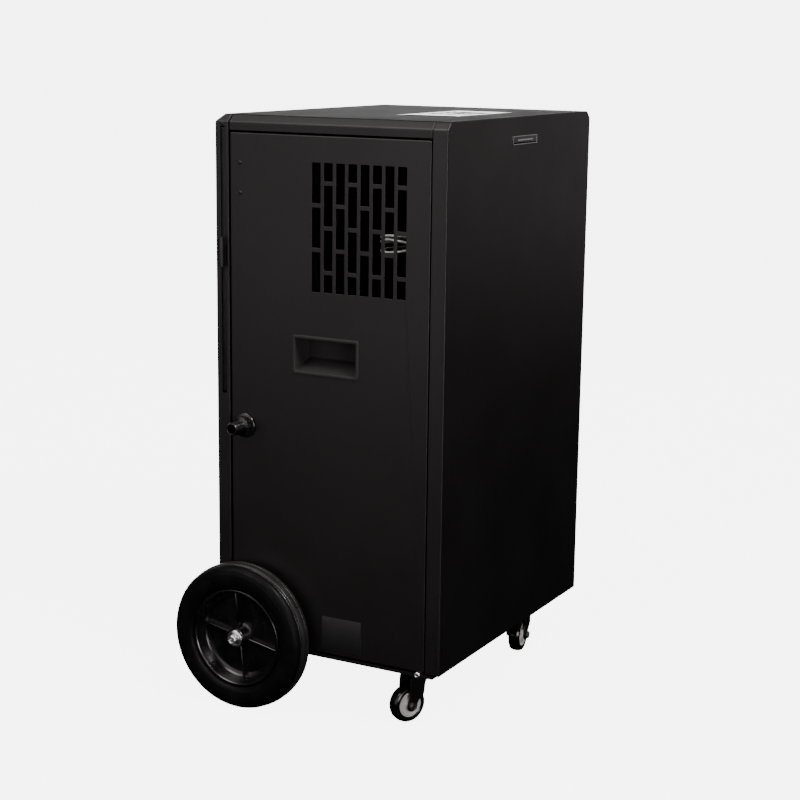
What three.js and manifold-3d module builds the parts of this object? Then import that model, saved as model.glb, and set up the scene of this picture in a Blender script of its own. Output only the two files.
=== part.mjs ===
// Commercial dehumidifier: a tall sheet-metal cabinet on two large rear wheels and two front casters.
// Millimetres, +Z up, front towards -Y. The origin is on the floor under the middle of the bounding box.
import * as THREE from "three";
import { mergeVertices } from "three/addons/utils/BufferGeometryUtils.js";
import Module from "manifold-3d";

const wasm = await Module();
wasm.setup();

// ---- Driving dimensions ----
const CABINET = { width: 560, depth: 430, height: 900, lift: 103, chamfer: 12 };
const SHEET = 1.5;
const GAP = 0.3;
const FRONT_COVER = { bottom: 6, depth: 26 };
const TOP_COVER = { front: 27.5, rear: 403, skirt: 25.5 };
const DOOR = { front: 28.5, rear: 401, bottom: 8, top: 871, returnDepth: 10 };
const POST = { front: 404.5, wrap: 28, lip: 14 };
const REAR_PANEL = { returnDepth: 8.5, topReach: 25.5 };
const GRILLE = { front: 70.8, bottom: 620.4, columns: 8, slotWidth: 16, pitch: 22.4, slotLength: 64.7, web: 7 };
const INTAKE = { columns: 2, rows: 15, slotLength: 196, slotHeight: 14, pitchX: 214, pitchZ: 28, bottom: 462 };
const FRAME = { half: 267.5, near: 31, far: 56, bottom: 10.5, top: 873, beam: 28 };
const HANDLE = { centre: 217.5, height: 514.5, width: 126, tall: 65.5, frame: 6, proud: 2.2, depth: 44, rise: 16 };
const SPOUT = { behind: 374, height: 384, flangeRadius: 21, stubRadius: 11.5, boreRadius: 8, length: 42 };
const DRAIN = { x: -120, radius: 8, boreRadius: 5.5, hoseRadius: 9 };
const FILTER = { front: 411.5, thick: 7, bottom: 437, top: 879, right: 244, border: 14, tabHeight: 674 };
const PANEL = { width: 226, front: 76, depth: 108, thick: 3, flange: 7 };
const DISPLAY = { width: 80, front: 94, depth: 36 };
const BUTTONS = { count: 4, radius: 6, pitch: 26, behind: 152, height: 10.4, footRadius: 7.6 };
const BADGE = { width: 95, tall: 15, height: 861, proud: 1.5 };
const WHEEL = { radius: 127, width: 48, standoff: 8, behind: 363, dishRadius: 79, segments: 32 };
const WHEEL_RIBS = [11, 84, 191, 264];
const HUB = { bossRadius: 16, face: 44, dish: 22, ribFace: 30.5 };
const AXLE = { radius: 8, beyondTyre: 8, boreRadius: 4, washerRadius: 14 };
const CASTER = { inset: 72, behind: 75, radius: 32, width: 22, trail: 24, channel: 12, plate: 64 };
const CASTER_HEADINGS = { left: 154.6, right: 188 };
const FAN = { height: 650, ringRadius: 183, bladeRadius: 175, hubRadius: 42, blades: 5, behind: 270 };
const MOTOR = { front: 161.5, radius: 48, length: 77, flangeRadius: 56, armReach: 196 };
const BULKHEAD = { behind: 285, half: 260, bottom: 411, top: 868, lip: 12 };
const COIL = { half: 225, bottom: 411, top: 855, groove: 72, grooves: 5, pitch: 86 };
const CONDENSER = [300, 336];
const EVAPORATOR = [356, 396];
const TRAY = { front: 58, rear: 407, bottom: 408, top: 430, halfWidth: 264 };
const COMPRESSOR = { x: -60, behind: 215, radius: 74, bottom: 23.2, height: 236 };
const COMPRESSOR_FEET = { halfX: 66, halfY: 62, radius: 15 };
const ACCUMULATOR = { x: 46, behind: 215, radius: 24, bottom: 60, height: 160 };
const PIPE_X = 246;
const HOT_GAS = { behind: 318, radius: 4.8, holeRadius: 7 };
const SUCTION = { behind: 376, radius: 6.2, holeRadius: 9 };
const BOX = { x: [130, 250], behind: [62, 182], height: [130, 340], wall: 2 };
const CAPACITOR = { x: 170, behind: 120, radius: 21, height: 90 };
const GLAND = { x: 180, height: 80, neckRadius: 8, nutRadius: 12, boreRadius: 4.5 };

const HALF = CABINET.width / 2;
const FRONT = -(WHEEL.behind + WHEEL.radius - BADGE.proud) / 2;
const REAR = FRONT + CABINET.depth;
const ACROSS = [-HALF - 5, HALF + 5];

// ---- Places: distance behind the front plane, and height above the cabinet's bottom ----
const behind = (distance) => FRONT + distance;
const above = (height) => CABINET.lift + height;

// ---- Materials ----
const paint = (color, roughness, metalness) => new THREE.MeshStandardMaterial({ color, roughness, metalness });
const MATERIALS = {
  blackPaint: paint(0x17171a, 0.5, 0.3),
  satinPaint: paint(0x2a2a2e, 0.45, 0.3),
  blackPlastic: paint(0x101012, 0.55, 0),
  glossPlastic: paint(0x0b0b0d, 0.12, 0),
  displayGlass: paint(0x1c2a30, 0.05, 0),
  rubber: paint(0x0c0c0c, 0.85, 0),
  palePlastic: paint(0xd8d8d4, 0.45, 0),
  zinc: paint(0xb9bcc0, 0.35, 0.9),
  galvanised: paint(0x9a9ea2, 0.5, 0.8),
  aluminium: paint(0xc3c6c9, 0.4, 0.8),
  copper: paint(0xb5683c, 0.35, 0.9),
  filterMesh: paint(0x3a3d40, 0.8, 0),
  circuit: paint(0x1f5a36, 0.6, 0),
};

// ---- Solids ----
function toSolid(geometry) {
  const bare = geometry.clone();
  bare.deleteAttribute("normal");
  bare.deleteAttribute("uv");
  const merged = mergeVertices(bare, 1e-4);
  const position = merged.attributes.position.array;
  const index = merged.index.array;
  const triangles = [];
  let volume = 0;
  const corner = (i) => new THREE.Vector3().fromArray(position, 3 * i);
  for (let i = 0; i < index.length; i += 3) {
    const [a, b, c] = [index[i], index[i + 1], index[i + 2]];
    if (a === b || b === c || c === a) continue;
    triangles.push(a, b, c);
    volume += corner(a).dot(corner(b).cross(corner(c)));
  }
  if (volume < 0) triangles.reverse();
  const mesh = new wasm.Mesh({
    numProp: 3,
    vertProperties: new Float32Array(position),
    triVerts: new Uint32Array(triangles),
  });
  return new wasm.Manifold(mesh);
}

function toGeometry(solid) {
  const mesh = solid.getMesh();
  const geometry = new THREE.BufferGeometry();
  geometry.setAttribute("position", new THREE.BufferAttribute(new Float32Array(mesh.vertProperties), 3));
  geometry.setIndex(new THREE.BufferAttribute(new Uint32Array(mesh.triVerts), 1));
  geometry.computeVertexNormals();
  return geometry;
}

const join = (...solids) => solids.reduce((whole, next) => whole.add(next));
const cut = (body, ...tools) => tools.reduce((rest, tool) => rest.subtract(tool), body);

function block(xRange, yRange, zRange) {
  const [x0, x1] = xRange;
  const [y0, y1] = yRange;
  const [z0, z1] = zRange;
  const geometry = new THREE.BoxGeometry(x1 - x0, y1 - y0, z1 - z0);
  geometry.translate((x0 + x1) / 2, (y0 + y1) / 2, (z0 + z1) / 2);
  return toSolid(geometry);
}

// A block whose Y and Z ranges are given behind the front plane and above the cabinet's bottom.
function cabinetBlock(xRange, behindRange, aboveRange) {
  return block(xRange, behindRange.map(behind), aboveRange.map(above));
}

const TURN_TO = {
  x: (geometry) => geometry.rotateZ(-Math.PI / 2),
  y: (geometry) => geometry,
  z: (geometry) => geometry.rotateX(Math.PI / 2),
};

function rod(radius, length, axis, centre, segments = 24) {
  const geometry = TURN_TO[axis](new THREE.CylinderGeometry(radius, radius, length, segments));
  geometry.translate(...centre);
  return toSolid(geometry);
}

// Turns a profile of [radius, distance along the axis] about X, Y or Z, starting from centre.
function turned(profile, axis, centre, segments = 32) {
  const points = profile.map(([radius, along]) => new THREE.Vector2(radius, along));
  const geometry = TURN_TO[axis](new THREE.LatheGeometry(points, segments));
  geometry.translate(...centre);
  return toSolid(geometry);
}

function tube(points, radius, steps = 22) {
  const section = new THREE.Shape();
  section.absarc(0, 0, radius, 0, 2 * Math.PI, false);
  const path = new THREE.CatmullRomCurve3(points.map((p) => new THREE.Vector3(...p)), false, "centripetal");
  return toSolid(new THREE.ExtrudeGeometry(section, { extrudePath: path, steps, curveSegments: 4 }));
}

function roundedRectangle(width, height, radius) {
  const [x, y] = [width / 2, height / 2];
  const shape = new THREE.Shape();
  shape.moveTo(-x + radius, -y);
  shape.lineTo(x - radius, -y);
  shape.absarc(x - radius, -y + radius, radius, -Math.PI / 2, 0, false);
  shape.lineTo(x, y - radius);
  shape.absarc(x - radius, y - radius, radius, 0, Math.PI / 2, false);
  shape.lineTo(-x + radius, y);
  shape.absarc(-x + radius, y - radius, radius, Math.PI / 2, Math.PI, false);
  shape.lineTo(-x, -y + radius);
  shape.absarc(-x + radius, -y + radius, radius, Math.PI, 1.5 * Math.PI, false);
  return shape;
}

function slab(shape, depth, curveSegments = 5) {
  return new THREE.ExtrudeGeometry(shape, { depth, bevelEnabled: false, curveSegments });
}

// Turns a shape drawn in Y and Z, extruded along Z, so that it is extruded along X.
const SIDEWAYS = new THREE.Matrix4().makeBasis(
  new THREE.Vector3(0, 1, 0),
  new THREE.Vector3(0, 0, 1),
  new THREE.Vector3(1, 0, 0),
);

function outline(points) {
  return new THREE.Shape(points.map(([x, y]) => new THREE.Vector2(x, y)));
}

// ---- Cabinet ----
function basePan() {
  const outer = cabinetBlock([-HALF, HALF], [12, 429.5], [0, 5.7]);
  const inside = cabinetBlock([-HALF + 2, HALF - 2], [14, 427.5], [2.5, 10]);
  const edge = HALF - 16;
  const upstand = cabinetBlock([-edge, edge], [34, 424], [2, 8]);
  const floorCut = cabinetBlock([-edge + 2, edge - 2], [36, 422], [2.5, 12]);
  const shallow = cut(join(cut(outer, inside), upstand), floorCut);
  const channel = cabinetBlock([-245, 245], [42, 110], [-CASTER.channel, 0.5]);
  const hollow = cabinetBlock([-246, 246], [44, 108], [-CASTER.channel + 2.5, -1]);
  return join(shallow, cut(channel, hollow));
}

// The form that the covers are cut from, moved in by inset. Its side and rear top edges are chamfered.
function cabinetForm(inset) {
  const half = HALF - inset;
  const top = above(CABINET.height) - inset;
  const chamfer = CABINET.chamfer - inset * (2 - Math.SQRT2);
  const [front, rear] = [FRONT + inset, REAR - inset];
  const across = slab(outline([
    [-half, 0], [half, 0], [half, top - chamfer],
    [half - chamfer, top], [-half + chamfer, top], [-half, top - chamfer],
  ]), CABINET.depth + 20);
  across.rotateX(Math.PI / 2);
  across.translate(0, REAR + 10, 0);
  const along = slab(outline([
    [front, 0], [rear, 0], [rear, top - chamfer], [rear - chamfer, top], [front, top],
  ]), CABINET.width + 20);
  along.applyMatrix4(SIDEWAYS);
  along.translate(-HALF - 10, 0, 0);
  return toSolid(across).intersect(toSolid(along));
}

// A folded sheet that follows the cabinet's form inside keep, hollow inside keepInside.
function foldedSheet(keep, keepInside) {
  return cut(cabinetForm(0).intersect(keep), cabinetForm(SHEET).intersect(keepInside));
}

function frontCover() {
  const { bottom, depth } = FRONT_COVER;
  const top = CABINET.height + 5;
  return foldedSheet(
    cabinetBlock(ACROSS, [-5, depth], [bottom, top]),
    cabinetBlock(ACROSS, [-5, depth + 5], [bottom + SHEET, top]),
  );
}

function topCover() {
  const { front, rear, skirt } = TOP_COVER;
  const [bottom, top] = [CABINET.height - skirt, CABINET.height + 5];
  const sheet = foldedSheet(
    cabinetBlock(ACROSS, [front, rear], [bottom, top]),
    cabinetBlock(ACROSS, [front + SHEET, rear - SHEET], [bottom - 5, top]),
  );
  const halfPanel = PANEL.width / 2 + 0.6;
  const aperture = [PANEL.front - 0.6, PANEL.front + PANEL.depth + 0.6];
  return cut(sheet, cabinetBlock([-halfPanel, halfPanel], aperture, [CABINET.height - 10, top]));
}

// The brick pattern: odd columns hold three full slots, even columns a half, two full and a half.
function grilleSlots() {
  const { slotLength, web, columns, slotWidth, pitch } = GRILLE;
  const bottom = GRILLE.bottom;
  const top = bottom + 3 * slotLength + 2 * web;
  const slots = [];
  for (let column = 0; column < columns; column += 1) {
    const near = GRILLE.front + column * pitch;
    const shift = column % 2 === 0 ? (slotLength + web) / 2 : 0;
    for (let row = 0; row < 4; row += 1) {
      const low = bottom + row * (slotLength + web) - shift;
      const range = [Math.max(low, bottom), Math.min(low + slotLength, top)];
      if (range[1] - range[0] < 5) continue;
      slots.push(cabinetBlock([-HALF - 20, -HALF + 30], [near, near + slotWidth], range));
    }
  }
  return slots;
}

// A side panel, made as the left one: outer face at -X, with folded edges.
function sideDoor(hasSpout) {
  const { front, rear, bottom, top, returnDepth } = DOOR;
  const outer = cabinetBlock([-HALF, -HALF + returnDepth], [front, rear], [bottom, top]);
  const insideX = [-HALF + SHEET, -HALF + returnDepth + 1];
  const inside = cabinetBlock(insideX, [front + SHEET, rear - SHEET], [bottom + SHEET, top - SHEET]);
  const clearance = 4;
  const cupHole = cabinetBlock(
    [-HALF - 5, -HALF + 30],
    [HANDLE.centre - HANDLE.width / 2 + clearance, HANDLE.centre + HANDLE.width / 2 - clearance],
    [HANDLE.height - HANDLE.tall / 2 + clearance, HANDLE.height + HANDLE.tall / 2 - clearance],
  );
  const notchHalf = AXLE.radius + 6;
  const notchSides = [WHEEL.behind - notchHalf, WHEEL.behind + notchHalf];
  const axleNotch = cabinetBlock([-HALF - 5, -HALF + 30], notchSides, [0, 40]);
  const panel = cut(outer, inside, cupHole, axleNotch, ...grilleSlots());
  if (!hasSpout) return panel;
  const hole = rod(SPOUT.stubRadius + 0.5, 30, "x", [-HALF, behind(SPOUT.behind), above(SPOUT.height)]);
  return cut(panel, hole);
}

// A rear corner post, made as the left one. The left one has the slot that the filter slides through.
function rearPost(hasSlot) {
  const { front, wrap, lip } = POST;
  const [rear, top] = [CABINET.depth, CABINET.height];
  const sheet = foldedSheet(
    cabinetBlock([-HALF - 5, -HALF + wrap], [front, rear + 5], [DOOR.bottom, top + 5]),
    cabinetBlock([-HALF - 5, -HALF + wrap + 1], [front + SHEET, rear + 5], [0, top + 5]),
  );
  const frontTrim = cabinetBlock([-HALF + lip, -HALF + wrap + 1], [front - 1, front + 3], [0, top - SHEET]);
  const footTop = cabinetBlock([-HALF + 1, -HALF + wrap - 4], [front + 2.5, rear - 1], [DOOR.bottom + 0.5, 12]);
  const footLow = cabinetBlock([-HALF + 2.5, -HALF + lip], [front + 2.5, rear - 8.5], [2.8, 9]);
  const post = join(cut(sheet, frontTrim), footTop, footLow);
  if (!hasSlot) return post;
  const sides = [FILTER.front - 1, FILTER.front + FILTER.thick + 1];
  return cut(post, cabinetBlock([-HALF - 5, -HALF + 16], sides, [FILTER.bottom - 2, FILTER.top + 2]));
}

// The rear panel reaches forwards over the top, between the two posts.
function rearPanel() {
  const { returnDepth, topReach } = REAR_PANEL;
  const half = HALF - POST.wrap - 1;
  const [rear, top] = [CABINET.depth, CABINET.height];
  const upright = cabinetBlock([-half, half], [rear - returnDepth, rear + 5], [DOOR.bottom, top + 5]);
  const overTop = cabinetBlock([-half, half], [rear - topReach, rear], [top - CABINET.chamfer, top + 5]);
  const inside = half - SHEET;
  const hollow = cabinetBlock([-inside, inside], [rear - 30, rear + 5], [DOOR.bottom + SHEET, top + 5]);
  const slots = [];
  for (let column = 0; column < INTAKE.columns; column += 1) {
    const middle = (column - (INTAKE.columns - 1) / 2) * INTAKE.pitchX;
    const across = [middle - INTAKE.slotLength / 2, middle + INTAKE.slotLength / 2];
    for (let row = 0; row < INTAKE.rows; row += 1) {
      const low = INTAKE.bottom + row * INTAKE.pitchZ;
      slots.push(cabinetBlock(across, [rear - 5, rear + 5], [low, low + INTAKE.slotHeight]));
    }
  }
  const glandHole = rod(GLAND.neckRadius + 0.5, 20, "y", [GLAND.x, REAR, above(GLAND.height)]);
  return cut(foldedSheet(join(upright, overTop), hollow), glandHole, ...slots);
}

function frontFrame() {
  const { half, near, far, bottom, top, beam } = FRAME;
  const plate = [near, near + SHEET];
  const span = (side, inner, outer) => (side < 0 ? [-outer, -inner] : [inner, outer]);
  const upright = (side) => join(
    cabinetBlock(span(side, half - beam, half), plate, [bottom, top]),
    cabinetBlock(span(side, half - SHEET, half), [near, far], [bottom, top]),
  );
  const crossbar = cabinetBlock([-half + 0.5, half - 0.5], plate, [top - beam, top]);
  const shelf = cabinetBlock([-half + 0.5, half - 0.5], [near, far], [top - SHEET, top]);
  const foot = (side) => join(
    cabinetBlock(span(side, half - beam - 4, half - 6), [near + 0.5, far + 4], [bottom - 0.2, bottom + SHEET]),
    cabinetBlock(span(side, half - beam - 4, half - 0.5), plate, [bottom - 0.2, bottom + 3.5]),
  );
  return join(upright(-1), upright(1), crossbar, shelf, foot(-1), foot(1));
}

// ---- Carry-handle cup, made as the left one ----
function handleCup() {
  const { centre, height, width, tall, frame, proud, depth, rise } = HANDLE;
  const flange = slab(roundedRectangle(width, tall, 5), proud);
  flange.rotateZ(Math.PI / 2);
  flange.rotateY(-Math.PI / 2);
  flange.translate(-HALF - 0.05, behind(centre), above(height));
  const across = (inset) => [centre - width / 2 + inset, centre + width / 2 - inset];
  const upright = (inset) => [height - tall / 2 + inset, height + tall / 2 - inset];
  const body = cabinetBlock([-HALF - 0.5, -HALF + depth], across(frame - 1.6), upright(frame - 1.6));
  const [low, high] = upright(frame).map(above);
  const back = -HALF + depth - 2;
  const cavity = outline([
    [-HALF - 10, low], [-HALF + 3, low], [back, low + rise],
    [back, high - 1], [-HALF + 3, high], [-HALF - 10, high],
  ]);
  const hollow = slab(cavity, width - 2 * frame);
  hollow.rotateX(Math.PI / 2);
  hollow.translate(0, behind(centre + width / 2 - frame), 0);
  return cut(join(toSolid(flange), body), toSolid(hollow));
}

// ---- Air path ----
function dripTray() {
  const { front, rear, bottom, top, halfWidth } = TRAY;
  const outer = cabinetBlock([-halfWidth, halfWidth], [front, rear], [bottom, top]);
  const inside = cabinetBlock(
    [-halfWidth + SHEET, halfWidth - SHEET],
    [front + SHEET, rear - SHEET],
    [bottom + 2, top + 5],
  );
  const outlet = rod(DRAIN.radius, 16, "z", [DRAIN.x, behind(SPOUT.behind), above(bottom - 6)], 16);
  const outletBore = rod(DRAIN.boreRadius, 40, "z", [DRAIN.x, behind(SPOUT.behind), above(bottom)], 16);
  const holes = [HOT_GAS, SUCTION].map((pipe) =>
    rod(pipe.holeRadius, 20, "z", [PIPE_X, behind(pipe.behind), above(bottom)], 16));
  return cut(join(cut(outer, inside), outlet), outletBore, ...holes);
}

function fanBulkhead() {
  const { behind: distance, half, bottom, top, lip } = BULKHEAD;
  const plate = cabinetBlock([-half, half], [distance, distance + SHEET], [bottom, top]);
  const topLip = cabinetBlock([-half, half], [distance, distance + lip], [top - SHEET, top]);
  const centre = [0, behind(distance - 13), above(FAN.height)];
  const collar = rod(FAN.ringRadius + 2, 28, "y", centre, 36);
  const bore = rod(FAN.ringRadius, 80, "y", centre, 36);
  return cut(join(plate, topLip, collar), bore);
}

function fanImpeller() {
  const axisPlace = [0, behind(FAN.behind), above(FAN.height)];
  const hub = rod(FAN.hubRadius, 36, "y", axisPlace, 24);
  const shaftPlace = [0, behind(FAN.behind - 28), above(FAN.height)];
  const shaft = rod(5.5, 46, "y", shaftPlace, 16);
  const bladeShape = new THREE.Shape();
  bladeShape.absarc(0, 0, FAN.bladeRadius, -0.2, 0.3, false);
  bladeShape.absarc(0, 0, FAN.hubRadius - 8, 0.7, -0.7, true);
  const thickness = 2.6;
  const pitch = THREE.MathUtils.degToRad(62);
  const blades = [];
  for (let i = 0; i < FAN.blades; i += 1) {
    const blade = slab(bladeShape, thickness, 4);
    blade.translate(0, 0, -thickness / 2);
    blade.rotateX(pitch);
    blade.rotateY((2 * Math.PI * i) / FAN.blades);
    blade.translate(...axisPlace);
    blades.push(toSolid(blade));
  }
  return join(hub, shaft, ...blades);
}

function fanMotor() {
  const { front, radius, length } = MOTOR;
  const profile = [
    [0, 0], [radius - 4, 0], [radius, 5], [radius, length - 5], [radius - 4, length],
    [16, length], [16, length + 5], [7, length + 5], [7, 50], [0, 50],
  ];
  return turned(profile, "y", [0, behind(front), above(FAN.height)], 20);
}

function motorBracket() {
  const { front, flangeRadius, armReach } = MOTOR;
  const [thick, width] = [3, 14];
  const place = [0, behind(front - 2), above(FAN.height)];
  const legLength = BULKHEAD.behind - front;
  const arms = [];
  for (const angle of [90, 210, 330]) {
    const spoke = new THREE.BoxGeometry(armReach - 46, thick, width);
    spoke.translate((armReach + 46) / 2, 0, 0);
    const leg = new THREE.BoxGeometry(thick, legLength + 2, width);
    leg.translate(armReach - thick / 2, legLength / 2 - 0.55, 0);
    for (const bar of [spoke, leg]) {
      bar.rotateY(-THREE.MathUtils.degToRad(angle));
      bar.translate(...place);
      arms.push(toSolid(bar));
    }
  }
  return join(rod(flangeRadius, thick, "y", place, 24), ...arms);
}

// A coil is a core with shallow recesses in its faces, between two end plates.
function coil([front, rear]) {
  const { half, bottom, top, groove, grooves, pitch } = COIL;
  const core = cabinetBlock([-half, half], [front + 2, rear - 2], [bottom + 3, top - 3]);
  const plate = (x) => cabinetBlock([x - 1.5, x + 1.5], [front, rear], [bottom, top]);
  const recesses = [];
  for (let i = 0; i < grooves; i += 1) {
    const x = (i - (grooves - 1) / 2) * pitch;
    for (const face of [front, rear]) {
      const sides = [x - groove / 2, x + groove / 2];
      recesses.push(cabinetBlock(sides, [face - 10, face + 10], [bottom + 9, top - 9]));
    }
  }
  return join(cut(core, ...recesses), plate(-half - 1), plate(half + 1));
}

// ---- Filter ----
function filterTrack() {
  const sides = [FILTER.front - 2.4, FILTER.front + FILTER.thick + 2.4];
  const outer = cabinetBlock([-262, FILTER.right + 3], sides, [FILTER.bottom - 3, FILTER.top + 3]);
  const slot = cabinetBlock(
    [-270, FILTER.right + 0.4],
    [FILTER.front - 0.4, FILTER.front + FILTER.thick + 0.4],
    [FILTER.bottom - 0.4, FILTER.top + 0.4],
  );
  const window = cabinetBlock([-270, FILTER.right - 6], [400, 425], [FILTER.bottom + 5, FILTER.top - 5]);
  return cut(outer, slot, window);
}

function filterFrame() {
  const sides = [FILTER.front, FILTER.front + FILTER.thick];
  const end = -HALF + 1;
  const outer = cabinetBlock([end, FILTER.right], sides, [FILTER.bottom, FILTER.top]);
  const window = cabinetBlock(
    [end + FILTER.border, FILTER.right - FILTER.border],
    [400, 430],
    [FILTER.bottom + FILTER.border, FILTER.top - FILTER.border],
  );
  const tabHeights = [FILTER.tabHeight - 25, FILTER.tabHeight + 25];
  const tab = cabinetBlock([end - 12, end + 1], [sides[1] - 2.2, sides[1]], tabHeights);
  const lip = cabinetBlock([end - 12, end - 10], [sides[0] - 2, sides[1]], tabHeights);
  return join(cut(outer, window), tab, lip);
}

function filterMesh() {
  const inset = FILTER.border + GAP;
  return cabinetBlock(
    [-HALF + 1 + inset, FILTER.right - inset],
    [FILTER.front + 2.5, FILTER.front + 4.5],
    [FILTER.bottom + inset, FILTER.top - inset],
  );
}

// ---- Refrigeration ----
function capsule(x, distance, radius, bottom, height) {
  const shoulder = radius * 0.45;
  const profile = [[0, 0], [radius * 0.6, 2], [radius * 0.9, shoulder * 0.5], [radius, shoulder]];
  const lid = profile.map(([r, z]) => [r, height - z]).reverse();
  return turned([...profile, ...lid], "z", [x, behind(distance), above(bottom)], 20);
}

function compressorMount() {
  const { x, behind: distance, bottom } = COMPRESSOR;
  const { halfX, halfY, radius } = COMPRESSOR_FEET;
  const plate = cabinetBlock([x - 85, x + 85], [distance - 80, distance + 80], [bottom - 4.4, bottom - 0.4]);
  const feet = [-halfX, halfX].flatMap((dx) => [-halfY, halfY].map((dy) =>
    rod(radius, 16.4, "z", [x + dx, behind(distance + dy), above(bottom - 12.2)], 12)));
  return join(plate, ...feet);
}

// Pipe routes are points of x, distance behind the front plane and height above the cabinet's bottom.
function pipe(route, radius) {
  return tube(route.map(([x, distance, height]) => [x, behind(distance), above(height)]), radius);
}

function dischargeTube() {
  const { x, behind: distance } = COMPRESSOR;
  const top = COMPRESSOR.bottom + COMPRESSOR.height;
  const far = HOT_GAS.behind;
  return pipe([
    [x, distance, top + GAP],
    [x, distance, top + 50],
    [x + 60, distance, top + 80],
    [PIPE_X - 40, far - 20, top + 85],
    [PIPE_X, far, top + 115],
    [PIPE_X, far, 400],
    [PIPE_X, far, 430],
    [PIPE_X, far, 500],
    [PIPE_X - 3, far, 515],
    [PIPE_X - 10, far, 520],
    [PIPE_X - 17.5, far, 520],
  ], HOT_GAS.radius);
}

function suctionTube() {
  const { x, behind: distance } = ACCUMULATOR;
  const top = ACCUMULATOR.bottom + ACCUMULATOR.height;
  const far = SUCTION.behind;
  return pipe([
    [PIPE_X - 17.5, far, 600],
    [PIPE_X - 10, far, 600],
    [PIPE_X - 2, far, 592],
    [PIPE_X, far, 575],
    [PIPE_X, far, 440],
    [PIPE_X, far, 390],
    [PIPE_X, far, 330],
    [PIPE_X - 40, far - 20, 290],
    [x + 60, distance + 70, 280],
    [x, distance + 10, top + 50],
    [x, distance, top + 30],
    [x, distance, top + GAP],
  ], SUCTION.radius);
}

// ---- Electrics ----
function electricalBox() {
  const { x, behind: distances, height, wall } = BOX;
  const outer = cabinetBlock(x, distances, height);
  const inside = cabinetBlock(
    [x[0] + wall, x[1] + 5],
    [distances[0] + wall, distances[1] - wall],
    [height[0] + wall, height[1] - wall],
  );
  return cut(outer, inside);
}

function capacitor() {
  const middle = BOX.height[0] + BOX.wall + GAP + CAPACITOR.height / 2;
  return rod(CAPACITOR.radius, CAPACITOR.height, "z", [CAPACITOR.x, behind(CAPACITOR.behind), above(middle)]);
}

function cableGland() {
  const { neckRadius, nutRadius, boreRadius } = GLAND;
  const profile = [
    [boreRadius, -12], [nutRadius, -12], [nutRadius, -3.8], [neckRadius, -3.8], [neckRadius, 0.3],
    [nutRadius, 0.3], [nutRadius, 10], [nutRadius - 2.5, 18], [boreRadius, 20], [boreRadius, -12],
  ];
  return turned(profile, "y", [GLAND.x, REAR, above(GLAND.height)], 16);
}

// ---- Control panel ----
const buttonX = (i) => (i - (BUTTONS.count - 1) / 2) * BUTTONS.pitch;

function controlFascia() {
  const { width, front, depth, thick, flange } = PANEL;
  const half = width / 2;
  const top = CABINET.height;
  const plate = cabinetBlock([-half, half], [front, front + depth], [top - thick, top]);
  const under = [top - thick - 2, top - thick + 1.2];
  const rim = cabinetBlock([-half - flange, half + flange], [front - flange, front + depth + flange], under);
  const clear = DISPLAY.width / 2 + GAP;
  const sides = [DISPLAY.front - GAP, DISPLAY.front + DISPLAY.depth + GAP];
  const window = cabinetBlock([-clear, clear], sides, [top - 2, top + 5]);
  const holes = Array.from({ length: BUTTONS.count }, (_, i) =>
    rod(BUTTONS.radius + GAP, 20, "z", [buttonX(i), behind(BUTTONS.behind), above(top)], 16));
  return cut(join(plate, rim), window, ...holes);
}

function displayWindow() {
  const { width, front, depth } = DISPLAY;
  return cabinetBlock([-width / 2, width / 2], [front, front + depth], [CABINET.height - 1.8, CABINET.height]);
}

function controlButton(x) {
  const { radius, footRadius, height } = BUTTONS;
  const profile = [[0, 0], [footRadius, 0], [footRadius, 2.4], [radius, 2.4], [radius, height], [0, height]];
  return turned(profile, "z", [x, behind(BUTTONS.behind), above(CABINET.height - height)], 16);
}

function controlHousing() {
  const [half, near, far] = [PANEL.width / 2 + 9, PANEL.front - 9, PANEL.front + PANEL.depth + 9];
  const [bottom, top] = [CABINET.height - 36, CABINET.height - 5.3];
  const outer = cabinetBlock([-half, half], [near, far], [bottom, top]);
  const inside = cabinetBlock([-half + 2, half - 2], [near + 2, far - 2], [bottom + 2, top + 5]);
  const pillars = [-half + 10, half - 10].flatMap((x) => [near + 11, far - 11].map((distance) =>
    rod(4, 18, "z", [x, behind(distance), above(bottom + 10)], 12)));
  return join(cut(outer, inside), ...pillars);
}

function controlBoard() {
  const height = CABINET.height - 16.6;
  return cabinetBlock([-110, 110], [84, 176], [height, height + 1.6]);
}

// ---- Drain ----
function drainSpout() {
  const { flangeRadius, stubRadius, boreRadius, length } = SPOUT;
  const profile = [
    [boreRadius, -length], [stubRadius - 1.5, -length], [stubRadius, -length + 4], [stubRadius, -18],
    [stubRadius + 4, -14], [stubRadius + 4, -6], [flangeRadius, -4], [flangeRadius, -0.1],
    [stubRadius, -0.1], [stubRadius, 18], [boreRadius, 18], [boreRadius, -length],
  ];
  return turned(profile, "x", [-HALF, behind(SPOUT.behind), above(SPOUT.height)], 20);
}

function spoutNut() {
  const centre = [-HALF + SHEET + 4.3, behind(SPOUT.behind), above(SPOUT.height)];
  return cut(rod(19, 8, "x", centre, 6), rod(SPOUT.stubRadius + 0.5, 20, "x", centre, 20));
}

function drainHose() {
  const top = TRAY.bottom - 14 - GAP;
  const points = [
    [DRAIN.x, top],
    [DRAIN.x, top - 25],
    [DRAIN.x - 12, top - 52],
    [DRAIN.x - 48, top - 62],
    [DRAIN.x - 84, top - 48],
    [DRAIN.x - 104, SPOUT.height - 12],
    [DRAIN.x - 122, SPOUT.height],
    [-HALF + 18 + GAP, SPOUT.height],
  ];
  return tube(points.map(([x, h]) => [x, behind(SPOUT.behind), above(h)]), DRAIN.hoseRadius, 20);
}

// ---- Rear wheels, made as the left one ----
const TYRE_INNER = -HALF - WHEEL.standoff;
const WHEEL_PLACE = [TYRE_INNER, behind(WHEEL.behind), WHEEL.radius];

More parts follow.
